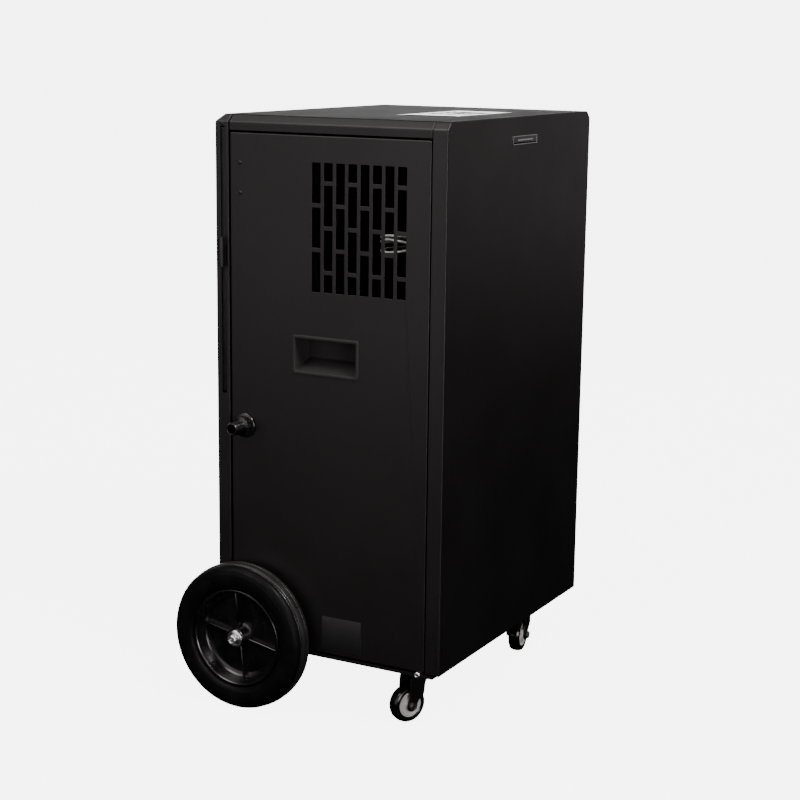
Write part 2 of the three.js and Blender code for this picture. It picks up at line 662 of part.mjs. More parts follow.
// Profiles run outboard from the tyre's inner face as [radius, distance towards -X].
function turnedOutboard(profile, segments) {
  return turned(profile.map(([radius, out]) => [radius, -out]), "x", WHEEL_PLACE, segments);
}

function rearTyre() {
  const { radius, width, dishRadius } = WHEEL;
  const bead = dishRadius + 8;
  const profile = [
    [bead, 6], [bead + 6, 2], [radius - 16, 0], [radius - 7, 1.5], [radius - 2.5, 7], [radius, 18],
    [radius, 30], [radius - 2.5, 41], [radius - 7, width - 1.5], [radius - 16, width], [bead + 6, width - 2],
    [bead, width - 6], [bead, 6],
  ];
  return turnedOutboard(profile, WHEEL.segments);
}

function rearHub() {
  const { dishRadius } = WHEEL;
  const { bossRadius, face, dish, ribFace } = HUB;
  const rim = dishRadius + 8 - GAP;
  const bore = AXLE.radius + GAP;
  const profile = [
    [bore, -4], [17, -4], [17, 12], [dishRadius - 8, 14], [dishRadius - 2, 8], [rim, 7],
    [rim, 41], [dishRadius + 3, 43], [dishRadius, 41], [dishRadius - 6, dish + 2], [bossRadius + 2, dish],
    [bossRadius, face], [bore, face], [bore, -4],
  ];
  const length = dishRadius - 3 - bossRadius;
  const ribs = WHEEL_RIBS.map((angle) => {
    const rib = new THREE.BoxGeometry(ribFace - dish + 3, length, 2.4);
    rib.translate(-(ribFace + dish - 3) / 2, bossRadius - 1 + length / 2, 0);
    rib.rotateX(THREE.MathUtils.degToRad(angle));
    rib.translate(...WHEEL_PLACE);
    return toSolid(rib);
  });
  return join(turnedOutboard(profile, WHEEL.segments), ...ribs);
}

function axleBar() {
  const half = HALF + WHEEL.standoff + WHEEL.width + AXLE.beyondTyre;
  const place = (x) => [x, behind(WHEEL.behind), WHEEL.radius];
  const bores = [-half, half].map((x) => rod(AXLE.boreRadius, 20, "x", place(x), 12));
  return cut(rod(AXLE.radius, 2 * half, "x", place(0)), ...bores);
}

function axleWasher() {
  const bore = AXLE.radius + GAP;
  const [low, high] = [HUB.face + GAP, HUB.face + 2.8];
  const profile = [
    [bore, low], [AXLE.washerRadius, low], [AXLE.washerRadius, high - 1], [AXLE.washerRadius - 2, high],
    [bore, high], [bore, low],
  ];
  return turnedOutboard(profile, 20);
}

function axleBracket(side) {
  const across = side < 0 ? [-245, -215] : [215, 245];
  const body = cabinetBlock(across, [WHEEL.behind - 22, WHEEL.behind + 22], [2.8, 44]);
  return cut(body, rod(AXLE.radius + GAP, 60, "x", [side * 230, behind(WHEEL.behind), WHEEL.radius]));
}

// ---- Casters, in their own frame: swivel axis at the origin on the floor, trailing towards +X ----
const CASTER_TOP = CABINET.lift - CASTER.channel - GAP;

function casterPlate() {
  const half = CASTER.plate / 2;
  const plate = block([-half, half], [-half, half], [CASTER_TOP - 3, CASTER_TOP]);
  const race = rod(19, 4, "z", [0, 0, CASTER_TOP - 4.9], 20);
  const kingpin = rod(6, 18, "z", [0, 0, CASTER_TOP - 11], 12);
  const head = rod(10, 4, "z", [0, 0, CASTER_TOP - 18], 12);
  return join(plate, race, kingpin, head);
}

function casterFork() {
  const top = CASTER_TOP - 7.4;
  const { radius, trail } = CASTER;
  const [front, rear, eye] = [-14, trail + 4, 10.5];
  const side = new THREE.Shape();
  side.moveTo(front, top);
  side.lineTo(front + 11, top - 14);
  side.lineTo(0, radius + 16);
  side.lineTo(trail - eye, radius);
  side.absarc(trail, radius, eye, Math.PI, 2 * Math.PI, false);
  side.lineTo(rear + 2, radius + 14);
  side.lineTo(rear, top - 6);
  side.lineTo(rear - 4, top);
  const legs = [-16.5, 14].map((start) => {
    const leg = slab(side, 2.5, 4);
    leg.rotateX(Math.PI / 2);
    leg.translate(0, start + 2.5, 0);
    return toSolid(leg);
  });
  const bridge = block([front, rear - 4], [-15, 15], [top - 3, top]);
  const crown = rod(20, 5, "z", [0, 0, top - 2.5], 20);
  const pinHole = rod(6 + GAP, 30, "z", [0, 0, top], 12);
  const axleHole = rod(4 + GAP, 60, "y", [trail, 0, radius], 12);
  return cut(join(...legs, bridge, crown), pinHole, axleHole);
}

function casterTyre() {
  const { radius, width, trail } = CASTER;
  const half = width / 2;
  const profile = [
    [22, -half + 1], [radius - 5, -half], [radius - 1.2, -half + 3], [radius, 0],
    [radius - 1.2, half - 3], [radius - 5, half], [22, half - 1], [22, -half + 1],
  ];
  return turned(profile, "y", [trail, 0, radius], 20);
}

function casterHub() {
  const profile = [
    [4 + GAP, -13], [9, -13], [9, -8], [17, -6.5], [19, -10], [22 - GAP, -10],
    [22 - GAP, 10], [19, 10], [17, 6.5], [9, 8], [9, 13], [4 + GAP, 13], [4 + GAP, -13],
  ];
  return turned(profile, "y", [CASTER.trail, 0, CASTER.radius], 16);
}

function casterBolt() {
  const place = (y) => [CASTER.trail, y, CASTER.radius];
  const head = rod(7, 5, "y", place(-19.4), 6);
  const nut = rod(7, 5, "y", place(19.4), 6);
  return join(rod(4, 40, "y", place(0), 12), head, nut);
}

// ---- Assembly ----
const group = new THREE.Group();

function add(name, solid, material, parent = group) {
  const mesh = new THREE.Mesh(toGeometry(solid), material);
  mesh.name = name;
  parent.add(mesh);
  return mesh;
}

const mirrored = (solid) => solid.mirror([1, 0, 0]);

function addCabinet() {
  add("base_pan", basePan(), MATERIALS.blackPaint);
  add("front_frame", frontFrame(), MATERIALS.blackPaint);
  add("post_rear_left", rearPost(true), MATERIALS.blackPaint);
  add("post_rear_right", mirrored(rearPost(false)), MATERIALS.blackPaint);
  add("front_cover", frontCover(), MATERIALS.blackPaint);
  add("top_cover", topCover(), MATERIALS.satinPaint);
  add("left_door", sideDoor(true), MATERIALS.blackPaint);
  add("right_door", mirrored(sideDoor(false)), MATERIALS.blackPaint);
  add("rear_panel", rearPanel(), MATERIALS.blackPaint);
  add("handle_cup_left", handleCup(), MATERIALS.blackPlastic);
  add("handle_cup_right", mirrored(handleCup()), MATERIALS.blackPlastic);
  const badgeHeights = [BADGE.height - BADGE.tall / 2, BADGE.height + BADGE.tall / 2];
  const badge = cabinetBlock([-BADGE.width / 2, BADGE.width / 2], [-BADGE.proud, -0.1], badgeHeights);
  add("badge", badge, MATERIALS.aluminium);
}

function addAirPath() {
  add("drip_tray", dripTray(), MATERIALS.galvanised);
  add("fan_bulkhead", fanBulkhead(), MATERIALS.blackPaint);
  add("fan_motor", fanMotor(), MATERIALS.blackPaint);
  add("motor_bracket", motorBracket(), MATERIALS.blackPaint);
  add("fan_impeller", fanImpeller(), MATERIALS.blackPlastic);
  add("filter_track", filterTrack(), MATERIALS.blackPaint);
  add("filter_frame", filterFrame(), MATERIALS.blackPlastic);
  add("filter_mesh", filterMesh(), MATERIALS.filterMesh);
}

function addRefrigeration() {
  add("condenser", coil(CONDENSER), MATERIALS.aluminium);
  add("evaporator", coil(EVAPORATOR), MATERIALS.aluminium);
  const { x, behind: distance, radius, bottom, height } = COMPRESSOR;
  add("compressor", capsule(x, distance, radius, bottom, height), MATERIALS.blackPaint);
  add("compressor_mount", compressorMount(), MATERIALS.rubber);
  const tank = ACCUMULATOR;
  add("accumulator", capsule(tank.x, tank.behind, tank.radius, tank.bottom, tank.height), MATERIALS.copper);
  add("discharge_tube", dischargeTube(), MATERIALS.copper);
  add("suction_tube", suctionTube(), MATERIALS.copper);
}

function addElectrics() {
  add("electrical_box", electricalBox(), MATERIALS.galvanised);
  add("capacitor", capacitor(), MATERIALS.aluminium);
  add("cable_gland", cableGland(), MATERIALS.blackPlastic);
  add("control_housing", controlHousing(), MATERIALS.blackPlastic);
  add("control_board", controlBoard(), MATERIALS.circuit);
  add("control_fascia", controlFascia(), MATERIALS.glossPlastic);
  add("display_window", displayWindow(), MATERIALS.displayGlass);
  for (let i = 0; i < BUTTONS.count; i += 1) {
    add(`button_${i + 1}`, controlButton(buttonX(i)), MATERIALS.blackPlastic);
  }
}

function addDrain() {
  add("drain_spout", drainSpout(), MATERIALS.blackPlastic);
  add("spout_nut", spoutNut(), MATERIALS.blackPlastic);
  add("drain_hose", drainHose(), MATERIALS.rubber);
}

function addRunningGear() {
  add("axle", axleBar(), MATERIALS.zinc);
  for (const [name, side] of [["left", -1], ["right", 1]]) {
    const placed = side < 0 ? (solid) => solid : mirrored;
    add(`axle_bracket_${name}`, axleBracket(side), MATERIALS.blackPaint);
    add(`tyre_${name}`, placed(rearTyre()), MATERIALS.rubber);
    add(`wheel_hub_${name}`, placed(rearHub()), MATERIALS.blackPlastic);
    add(`axle_washer_${name}`, placed(axleWasher()), MATERIALS.zinc);
  }
}

function addCaster(name, side) {
  const caster = new THREE.Group();
  const swivel = new THREE.Group();
  caster.position.set(side * (HALF - CASTER.inset), behind(CASTER.behind), 0);
  swivel.rotation.z = THREE.MathUtils.degToRad(CASTER_HEADINGS[name]);
  add(`caster_plate_${name}`, casterPlate(), MATERIALS.zinc, caster);
  add(`caster_fork_${name}`, casterFork(), MATERIALS.blackPaint, swivel);
  add(`caster_tyre_${name}`, casterTyre(), MATERIALS.rubber, swivel);
  add(`caster_hub_${name}`, casterHub(), MATERIALS.palePlastic, swivel);
  add(`caster_bolt_${name}`, casterBolt(), MATERIALS.zinc, swivel);
  caster.add(swivel);
  group.add(caster);
}

addCabinet();
addAirPath();
addRefrigeration();
addElectrics();
addDrain();
addRunningGear();
addCaster("left", -1);
addCaster("right", 1);

export default group;
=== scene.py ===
# Commercial dehumidifier: the looks of every piece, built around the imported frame.
# Metres, +Z up, front towards -Y. Sizes are given in millimetres and turned into metres by MM.
import math

import bmesh
import bpy
from mathutils import Matrix, Vector


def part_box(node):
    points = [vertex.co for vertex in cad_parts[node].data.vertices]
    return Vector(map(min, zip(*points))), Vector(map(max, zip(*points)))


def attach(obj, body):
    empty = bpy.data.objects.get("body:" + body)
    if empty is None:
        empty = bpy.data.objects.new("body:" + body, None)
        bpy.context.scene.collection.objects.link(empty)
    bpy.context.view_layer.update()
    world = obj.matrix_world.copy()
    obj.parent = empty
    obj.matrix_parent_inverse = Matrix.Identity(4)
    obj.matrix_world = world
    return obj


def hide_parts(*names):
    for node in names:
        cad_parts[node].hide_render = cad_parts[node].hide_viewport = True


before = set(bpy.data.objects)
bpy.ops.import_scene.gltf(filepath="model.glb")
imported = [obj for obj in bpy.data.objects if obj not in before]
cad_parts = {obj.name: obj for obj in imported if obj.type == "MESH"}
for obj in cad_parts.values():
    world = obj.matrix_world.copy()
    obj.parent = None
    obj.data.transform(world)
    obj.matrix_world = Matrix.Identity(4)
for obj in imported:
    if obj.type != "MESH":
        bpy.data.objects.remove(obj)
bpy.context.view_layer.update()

# ---- Places: distance behind the front plane, and height above the cabinet's bottom ----
MM = 0.001
X, Y, Z = Vector((1, 0, 0)), Vector((0, 1, 0)), Vector((0, 0, 1))
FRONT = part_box("front_cover")[0].y
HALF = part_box("front_cover")[1].x / MM
PANEL_LOW = 8
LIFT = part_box("left_door")[0].z - PANEL_LOW * MM
TOP = (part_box("top_cover")[1].z - LIFT) / MM
DEPTH = (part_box("rear_panel")[1].y - FRONT) / MM
SHEET = 1.5
FOLD = 2.0
CHAMFER = 12
POST_FRONT = 404.5
CUP_BEHIND, CUP_HEIGHT = 217.5, 514.5
SPOUT_BEHIND, SPOUT_HEIGHT = 374, 384
GLAND_X, GLAND_HEIGHT = 180, 80
FAN_HEIGHT = 650


def at(x, distance, height):
    """The point at x, that far behind the front plane and above the cabinet's bottom, from millimetres."""
    return Vector((x * MM, FRONT + distance * MM, LIFT + height * MM))


def axes(origin, right, up, out):
    """The matrix that puts local X, Y and Z along right, up and out."""
    matrix = Matrix((right, up, out)).transposed().to_4x4()
    matrix.translation = origin
    return matrix


# ---- Mesh helpers ----
def placed(name, data):
    obj = bpy.data.objects.new(name, data)
    bpy.context.scene.collection.objects.link(obj)
    return obj


def emptied(bm, name):
    """An object made from bm, which is freed."""
    mesh = bpy.data.meshes.new(name)
    bm.to_mesh(mesh)
    bm.free()
    return placed(name, mesh)


def to_object(bm, name, smooth=35, closed=True):
    if closed:
        bmesh.ops.recalc_face_normals(bm, faces=bm.faces)
    limit = math.radians(smooth)
    for face in bm.faces:
        face.smooth = True
    for edge in bm.edges:
        edge.smooth = len(edge.link_faces) == 2 and edge.calc_face_angle(math.pi) < limit
    return emptied(bm, name)


def bevelled(obj, width, segments=2, angle=40):
    bevel = obj.modifiers.new("edges", "BEVEL")
    bevel.width = width * MM
    bevel.segments = segments
    bevel.limit_method = "ANGLE"
    bevel.angle_limit = math.radians(angle)
    bevel.harden_normals = True
    return obj


def weighted(obj):
    """Keeps large flat faces flat where they meet narrow bends."""
    modifier = obj.modifiers.new("normals", "WEIGHTED_NORMAL")
    modifier.keep_sharp = True
    modifier.weight = 100
    return obj


def walled(obj, wall=SHEET):
    solid = obj.modifiers.new("wall", "SOLIDIFY")
    solid.thickness = wall * MM
    solid.offset = -1
    solid.use_even_offset = True
    return obj


def fitted(obj, body, slot, material, *replaced):
    """Gives a piece its material and its body, and hides the nodes that it stands for; slot is not used."""
    obj.data.materials.clear()
    obj.data.materials.append(material)
    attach(obj, body)
    if replaced:
        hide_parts(*replaced)
    return obj


def fixed(obj, slot, material, *replaced):
    return fitted(obj, "cabinet", slot, material, *replaced)


def joined(name, parts):
    """One object holding the meshes of several."""
    bm = bmesh.new()
    for part in parts:
        bm.from_mesh(part.data)
        bpy.data.objects.remove(part)
    return emptied(bm, name)


def moved(obj, matrix):
    obj.data.transform(matrix)
    if matrix.determinant() < 0:
        obj.data.flip_normals()
    return obj


def sided(obj, side):
    """A piece made as the left one, mirrored where side is the right one's, which is 1."""
    return moved(obj, Matrix.Scale(-1, 4, X)) if side > 0 else obj


def level_ring(bm, loop, level):
    return [bm.verts.new((x * MM, y * MM, level * MM)) for x, y in loop]


def bridge(bm, first, second):
    """Quads, or triangles at a pole, between two closed rings of vertices."""
    count = max(len(first), len(second))
    for i in range(count):
        j = (i + 1) % count
        corners = [first[i % len(first)], first[j % len(first)]]
        corners += [second[j % len(second)], second[i % len(second)]]
        unique = list(dict.fromkeys(corners))
        if len(unique) > 2:
            bm.faces.new(unique)


def loft(bm, rings):
    for first, second in zip(rings, rings[1:]):
        bridge(bm, first, second)


def fill(bm, rings):
    """Fills the area between an outer ring and the rings of its holes, and returns its faces."""
    edges = []
    for ring in rings:
        for i, vert in enumerate(ring):
            other = ring[(i + 1) % len(ring)]
            edges.append(bm.edges.get((vert, other)) or bm.edges.new((vert, other)))
    made = bmesh.ops.triangle_fill(bm, use_beauty=True, use_dissolve=False, edges=edges)
    return [g for g in made["geom"] if isinstance(g, bmesh.types.BMFace)]


def face_out(bm, face, out):
    """Makes the normals of an open sheet agree, with that face's towards out."""
    bmesh.ops.recalc_face_normals(bm, faces=bm.faces)
    if face.normal.dot(out) < 0:
        bmesh.ops.reverse_faces(bm, faces=bm.faces)


def eased(points, radius, closed=True):
    """A 2-D outline with its corners rounded by up to radius."""
    points = [Vector(p) for p in points]
    out = []
    count, steps = len(points), 3
    for i, point in enumerate(points):
        if not closed and i in (0, count - 1):
            out.append(point)
            continue
        before, after = points[i - 1] - point, points[(i + 1) % count] - point
        if before.length < 1e-9 or after.length < 1e-9:
            continue
        turn = math.pi - before.angle(after)
        if turn < 0.05:
            out.append(point)
            continue
        reach = min(radius * math.tan(turn / 2), 0.45 * before.length, 0.45 * after.length)
        start, end = point + before.normalized() * reach, point + after.normalized() * reach
        for k in range(steps + 1):
            t = k / steps
            out.append(start * (1 - t) ** 2 + point * (2 * t * (1 - t)) + end * t ** 2)
    return out


def lathe(name, profile, axis, centre, segments, ease):
    """Turns a profile of (radius, distance along the axis), in millimetres, about an axis through centre."""
    on_axis = profile[0][0] == 0 and profile[-1][0] == 0
    outline = eased(profile, ease, closed=not on_axis)
    side = axis.orthogonal().normalized()
    other = axis.cross(side)
    bm = bmesh.new()
    rings = []
    for radius, along in outline:
        middle = centre + axis * (along * MM)
        if radius < 1e-6:
            rings.append([bm.verts.new(middle)])
            continue
        spokes = circle(0, 0, radius, segments)
        rings.append([bm.verts.new(middle + (side * x + other * y) * MM) for x, y in spokes])
    loft(bm, rings)
    if not on_axis:
        bridge(bm, rings[-1], rings[0])
    return to_object(bm, name)


def rectangle(left, right, bottom, top, corners=0.0, steps=4):
    """A rounded rectangle, anticlockwise. corners is one radius, or one each from the bottom right round."""
    radii = corners if isinstance(corners, (list, tuple)) else [corners] * 4
    places = [(right, bottom, -1, 1, -90), (right, top, -1, -1, 0),
              (left, top, 1, -1, 90), (left, bottom, 1, 1, 180)]
    points = []
    for (x, y, dx, dy, start), radius in zip(places, radii):
        if radius <= 0:
            points.append((x, y))
            continue
        for k in range(steps + 1):
            turn = math.radians(start + 90 * k / steps)
            points.append((x + radius * (dx + math.cos(turn)), y + radius * (dy + math.sin(turn))))
    return points


def circle(x, y, radius, count=32):
    return [(x + radius * math.cos(2 * math.pi * i / count), y + radius * math.sin(2 * math.pi * i / count))
            for i in range(count)]


def inward(loop, distance):
    """An anticlockwise loop moved in by distance."""
    out = []
    for i, point in enumerate(loop):
        point = Vector(point)
        before = (point - Vector(loop[i - 1])).normalized()
        after = (Vector(loop[(i + 1) % len(loop)]) - point).normalized()
        first, second = Vector((-before.y, before.x)), Vector((-after.y, after.x))
        out.append(point + (first + second) * (distance / max(1 + first.dot(second), 0.3)))
    return out


def plate(name, outer, holes, low, high, edge, matrix=None):
    """A flat plate from low to high along local Z, with eased edges, in millimetres."""
    bm = bmesh.new()
    levels = [(edge, high), (edge * 0.3, high - edge * 0.3), (0, high - edge), (0, low + edge), (edge, low)]
    caps = {high: [], low: []}
    for loop, sign in [(outer, 1)] + [(hole, -1) for hole in holes]:
        rings = [level_ring(bm, inward(loop, sign * inset), level) for inset, level in levels]
        loft(bm, rings)
        caps[high].append(rings[0])
        caps[low].append(rings[-1])
    fill(bm, caps[high])
    fill(bm, caps[low])
    obj = to_object(bm, name)
    return moved(obj, matrix) if matrix else obj


def pan(name, width, height, depth, holes, place):
    """A folded sheet pan: its face is at local Z = 0 and its returns reach depth behind it."""
    rows = [(0, depth)]
    for angle in range(0, 91, 9):
        turn = math.radians(angle)
        rows.append((FOLD * (1 - math.cos(turn)), FOLD * (1 - math.sin(turn))))
    bm = bmesh.new()
    rings = []
    for inset, level in rows:
        x, y = width / 2 - inset, height / 2 - inset
        rings.append(level_ring(bm, rectangle(-x, x, -y, y, FOLD + 1 - inset), -level))
    loft(bm, rings)
    face = fill(bm, [rings[-1]] + [level_ring(bm, hole, 0) for hole in holes])
    face_out(bm, face[0], Z)
    sheet = moved(to_object(bm, name, closed=False), place)
    return weighted(bevelled(walled(sheet), 0.35))


def shell(name, walls, out, border=8, fold=2.5):
    """A folded sheet. Its outer face is a set of flat walls, each a list of corners and a list of holes,
    as points of x, distance and height. out is the way that the first wall faces."""
    bm = bmesh.new()
    known = {}

    def corner(point):
        key = tuple(round(value, 3) for value in point)
        if key not in known:
            known[key] = bm.verts.new(at(*point))
        return known[key]

    for corners, holes in walls:
        ring = [corner(point) for point in corners]
        if not holes:
            bm.faces.new(ring)
            continue
        points = [Vector(point) for point in corners]
        inner = []
        for i, point in enumerate(points):
            before, after = points[i - 1] - point, points[(i + 1) % len(points)] - point
            inner.append(bm.verts.new(at(*(point + (before.normalized() + after.normalized()) * border))))
        bridge(bm, ring, inner)
        fill(bm, [inner] + [[bm.verts.new(at(*point)) for point in hole] for hole in holes])
    bm.faces.ensure_lookup_table()
    face_out(bm, bm.faces[0], out)
    folds = [e for e in bm.edges if len(e.link_faces) == 2 and e.calc_face_angle(0) > math.radians(20)]
    bmesh.ops.bevel(bm, geom=folds, offset=fold * MM, offset_type="OFFSET", segments=4, profile=0.5,
                    affect="EDGES", clamp_overlap=False)
    return weighted(bevelled(walled(to_object(bm, name, closed=False)), 0.3))


def tube(name, points, radius, sides, steps=8):
    """A round tube of that radius along a smooth curve through points (metres)."""
    path = []
    padded = [points[0] * 2 - points[1]] + list(points) + [points[-1] * 2 - points[-2]]
    for a, b, c, d in zip(padded, padded[1:], padded[2:], padded[3:]):
        for k in range(steps):
            t = k / steps
            path.append(0.5 * ((2 * b) + (c - a) * t + (2 * a - 5 * b + 4 * c - d) * t ** 2
                               + (3 * b - a - 3 * c + d) * t ** 3))
    path.append(Vector(points[-1]))
    bm = bmesh.new()
    rings = []
    normal = (path[1] - path[0]).orthogonal().normalized()
    for i, point in enumerate(path):
        along = (path[min(i + 1, len(path) - 1)] - path[max(i - 1, 0)]).normalized()
        normal = (normal - along * normal.dot(along)).normalized()
        other = along.cross(normal)
        spokes = circle(0, 0, radius, sides)
        rings.append([bm.verts.new(point + (normal * x + other * y) * MM) for x, y in spokes])
    loft(bm, rings)
    for ring in (rings[0], rings[-1]):
        bm.faces.new(ring)
    return to_object(bm, name)


def bar(name, low, high, edge, matrix=None):
    """A block between two corners in millimetres, with eased edges."""
    loop = rectangle(low[0], high[0], low[1], high[1], edge, 2)
    return plate(name, loop, [], low[2], high[2], edge, matrix)


def cabinet_bar(name, xs, distances, heights, edge):
    low, high = zip(xs, distances, heights)
    return bar(name, low, high, edge, Matrix.Translation((0, FRONT, LIFT)))


def screw(place, out, radius, height, hexagon=False):
    """A pan-head screw with a cross recess, or a domed head with a hexagon socket, standing on place."""
    sides = 32
    right = out.orthogonal().normalized()
    up = out.cross(right)

    def recess(turn):
        if hexagon:
            return 0.5 * radius / math.cos((turn + math.pi / 6) % (math.pi / 3) - math.pi / 6)
        return radius * (0.52 if abs((turn + math.pi / 4) % (math.pi / 2) - math.pi / 4) < 0.21 else 0.15)

    head = [(1, 0), (1, 0.35), (0.93, 0.62), (0.78, 0.85), (0.6, 1)]
    socket = [(1, 0.98), (0.7, 0.35)]
    bm = bmesh.new()
    rings = []
    for rows, reach in ((head, lambda turn: radius), (socket, recess)):
        for share, rise in rows:
            ring = []
            for i in range(sides):
                turn = 2 * math.pi * i / sides
                spoke = (right * math.cos(turn) + up * math.sin(turn)) * reach(turn) * share
                ring.append(bm.verts.new(place + (spoke + out * height * rise) * MM))
            rings.append(ring)
    loft(bm, rings)
    bm.faces.new(rings[0])
    fill(bm, [rings[-1]])
    return to_object(bm, "screw", 30)


def grips(centre, axis, right, radius, count, profile, segments):
    """Small ribs in a ring about the axis through centre, each along the axis."""
    spots = [centre + (right * x + Z * z) * MM for x, z in circle(0, 0, radius, count)]
    return [lathe("grip", profile, axis, spot, segments, 0.3) for spot in spots]


# ---- Materials ----
def ranged(tree, source, low, high, start, end):
    """Maps source's values from start and end to low and high."""
    node = tree.nodes.new("ShaderNodeMapRange")
    for key, value in (("From Min", start), ("From Max", end), ("To Min", low), ("To Max", high)):
        node.inputs[key].default_value = value
    tree.links.new(source, node.inputs["Value"])
    return node.outputs["Result"]


class Finish:
    """A material: a principled surface with procedural nodes, in object coordinates."""

    def __init__(self, name, colour, roughness, metallic=0.0, **settings):
        self.material = bpy.data.materials.new(name)
        self.material.use_nodes = True
        self.nodes = self.material.node_tree.nodes
        self.links = self.material.node_tree.links
        self.surface = self.nodes["Principled BSDF"]
        self.colour = colour
        self.surface.inputs["Base Color"].default_value = (*colour, 1)
        self.surface.inputs["Roughness"].default_value = roughness
        self.surface.inputs["Metallic"].default_value = metallic
        for key, value in settings.items():
            self.surface.inputs[key.replace("_", " ")].default_value = value
        self.material.diffuse_color = (*colour, 1)
        self.place = self.nodes.new("ShaderNodeTexCoord").outputs["Object"]

    def stretched(self, scale):
        mapping = self.nodes.new("ShaderNodeMapping")
        mapping.inputs["Scale"].default_value = scale
        self.links.new(self.place, mapping.inputs["Vector"])
        return mapping.outputs["Vector"]

    def noise(self, scale, detail=3.0, place=None):
        node = self.nodes.new("ShaderNodeTexNoise")
        node.inputs["Scale"].default_value = scale
        node.inputs["Detail"].default_value = detail
        self.links.new(place or self.place, node.inputs["Vector"])
        return node.outputs["Fac"]

    def ramp(self, source, low, high, start=0.35, end=0.65):
        return ranged(self.material.node_tree, source, low, high, start, end)

    def mix(self, source, first, second):
        node = self.nodes.new("ShaderNodeMix")
        node.data_type = "RGBA"
        node.inputs["A"].default_value = (*first, 1)
        node.inputs["B"].default_value = (*second, 1)
        self.links.new(source, node.inputs["Factor"])
        return node.outputs["Result"]

    def tinted(self, source, share, lift=0.0):
        """Varies the base colour, by source, towards one that is lighter or darker by share."""
        self.set("Base Color", self.mix(source, self.colour, tuple(c * share + lift for c in self.colour)))

    def set(self, name, source):
        self.links.new(source, self.surface.inputs[name])
        return self

    def bump(self, source, depth, strength):
        node = self.nodes.new("ShaderNodeBump")
        node.inputs["Distance"].default_value = depth * MM
        node.inputs["Strength"].default_value = strength
        previous = self.surface.inputs["Normal"].links
        if previous:
            self.links.new(previous[0].from_socket, node.inputs["Normal"])
        self.links.new(source, node.inputs["Height"])
        self.links.new(node.outputs["Normal"], self.surface.inputs["Normal"])
        return self


def powder_coat(name, colour, roughness, specular=0.5, grain=1.0):
    finish = Finish(name, colour, roughness, Specular_IOR_Level=specular)
    finish.set("Roughness", finish.ramp(finish.noise(7, 4), roughness - 0.02, roughness + 0.03))
    finish.tinted(finish.noise(9, 5), 1.4)
    finish.bump(finish.noise(1500, 2), 0.12, 0.35 * grain)
    finish.bump(finish.noise(420, 1), 0.05, 0.2 * grain)
    return finish.material


def moulded(name, colour, roughness, grain=0.1, specular=0.5):
    finish = Finish(name, colour, roughness, Specular_IOR_Level=specular)
    finish.set("Roughness", finish.ramp(finish.noise(30, 3), roughness - 0.05, roughness + 0.07))
    finish.tinted(finish.noise(11, 3), 1.5)
    finish.bump(finish.noise(900, 3), grain, 0.4)
    return finish.material


def rubber(name, colour, roughness, specular=0.35):
    finish = Finish(name, colour, roughness, Specular_IOR_Level=specular)
    finish.tinted(finish.ramp(finish.noise(24, 6), 0, 0.5, 0.5, 0.75), 2.5, 0.004)
    finish.set("Roughness", finish.ramp(finish.noise(60, 4), roughness - 0.1, roughness + 0.08))
    finish.bump(finish.noise(700, 4), 0.15, 0.35)
    return finish.material


def brushed(name, colour, roughness, stretch=(500, 12, 500), spangle=0.0, grain=0.25):
    finish = Finish(name, colour, roughness, 1.0)
    streaks = finish.noise(1, 3, finish.stretched(stretch))
    finish.set("Roughness", finish.ramp(streaks, roughness - 0.1, roughness + 0.12))
    finish.bump(streaks, 0.03, grain)
    if spangle:
        cells = finish.nodes.new("ShaderNodeTexVoronoi")
        cells.inputs["Scale"].default_value = spangle
        finish.links.new(finish.place, cells.inputs["Vector"])
        finish.tinted(cells.outputs["Distance"], 0.72)
    return finish.material


def gloss(name, colour, roughness=0.06):
    finish = Finish(name, colour, roughness)
    finish.set("Roughness", finish.ramp(finish.noise(40, 5), roughness, roughness + 0.05, 0.45, 0.7))
    finish.bump(finish.noise(90, 1), 0.02, 0.03)
    return finish.material


def woven(name, colour):
    threads = 900
    finish = Finish(name, colour, 0.7, Sheen_Weight=0.15)
    waves = []
    for direction in ("X", "Z"):
        wave = finish.nodes.new("ShaderNodeTexWave")
        wave.bands_direction = direction
        wave.inputs["Scale"].default_value = threads / 2 / math.pi
        finish.links.new(finish.place, wave.inputs["Vector"])
        waves.append(wave.outputs["Fac"])
        finish.bump(wave.outputs["Fac"], 0.3, 0.6)
    weave = finish.nodes.new("ShaderNodeMath")
    weave.operation = "MULTIPLY"
    finish.links.new(waves[0], weave.inputs[0])
    finish.links.new(waves[1], weave.inputs[1])
    finish.tinted(weave.outputs[0], 0.3)
    return finish.material


def circuit(name):
    green = (0.02, 0.12, 0.05)
    finish = Finish(name, green, 0.4)
    tracks = finish.ramp(finish.noise(140, 0), 0, 1, 0.49, 0.51)
    finish.set("Base Color", finish.mix(tracks, green, (0.05, 0.22, 0.09)))
    finish.bump(tracks, 0.05, 0.5)
    return finish.material


PAINT = powder_coat("black_powder_coat", (0.0028, 0.0025, 0.0025), 0.42)
TOP_PAINT = powder_coat("satin_powder_coat", (0.004, 0.0037, 0.0037), 0.45, 0.45, 0.3)
INNER_PAINT = powder_coat("inner_black_paint", (0.004, 0.004, 0.004), 0.6, 0.25)
PLASTIC = moulded("moulded_black", (0.006, 0.006, 0.006), 0.38)
HUB_PLASTIC = moulded("wheel_black", (0.002, 0.002, 0.002), 0.25, 0.1, 0.8)
PALE = moulded("pale_hub", (0.72, 0.72, 0.70), 0.35, 0.03)
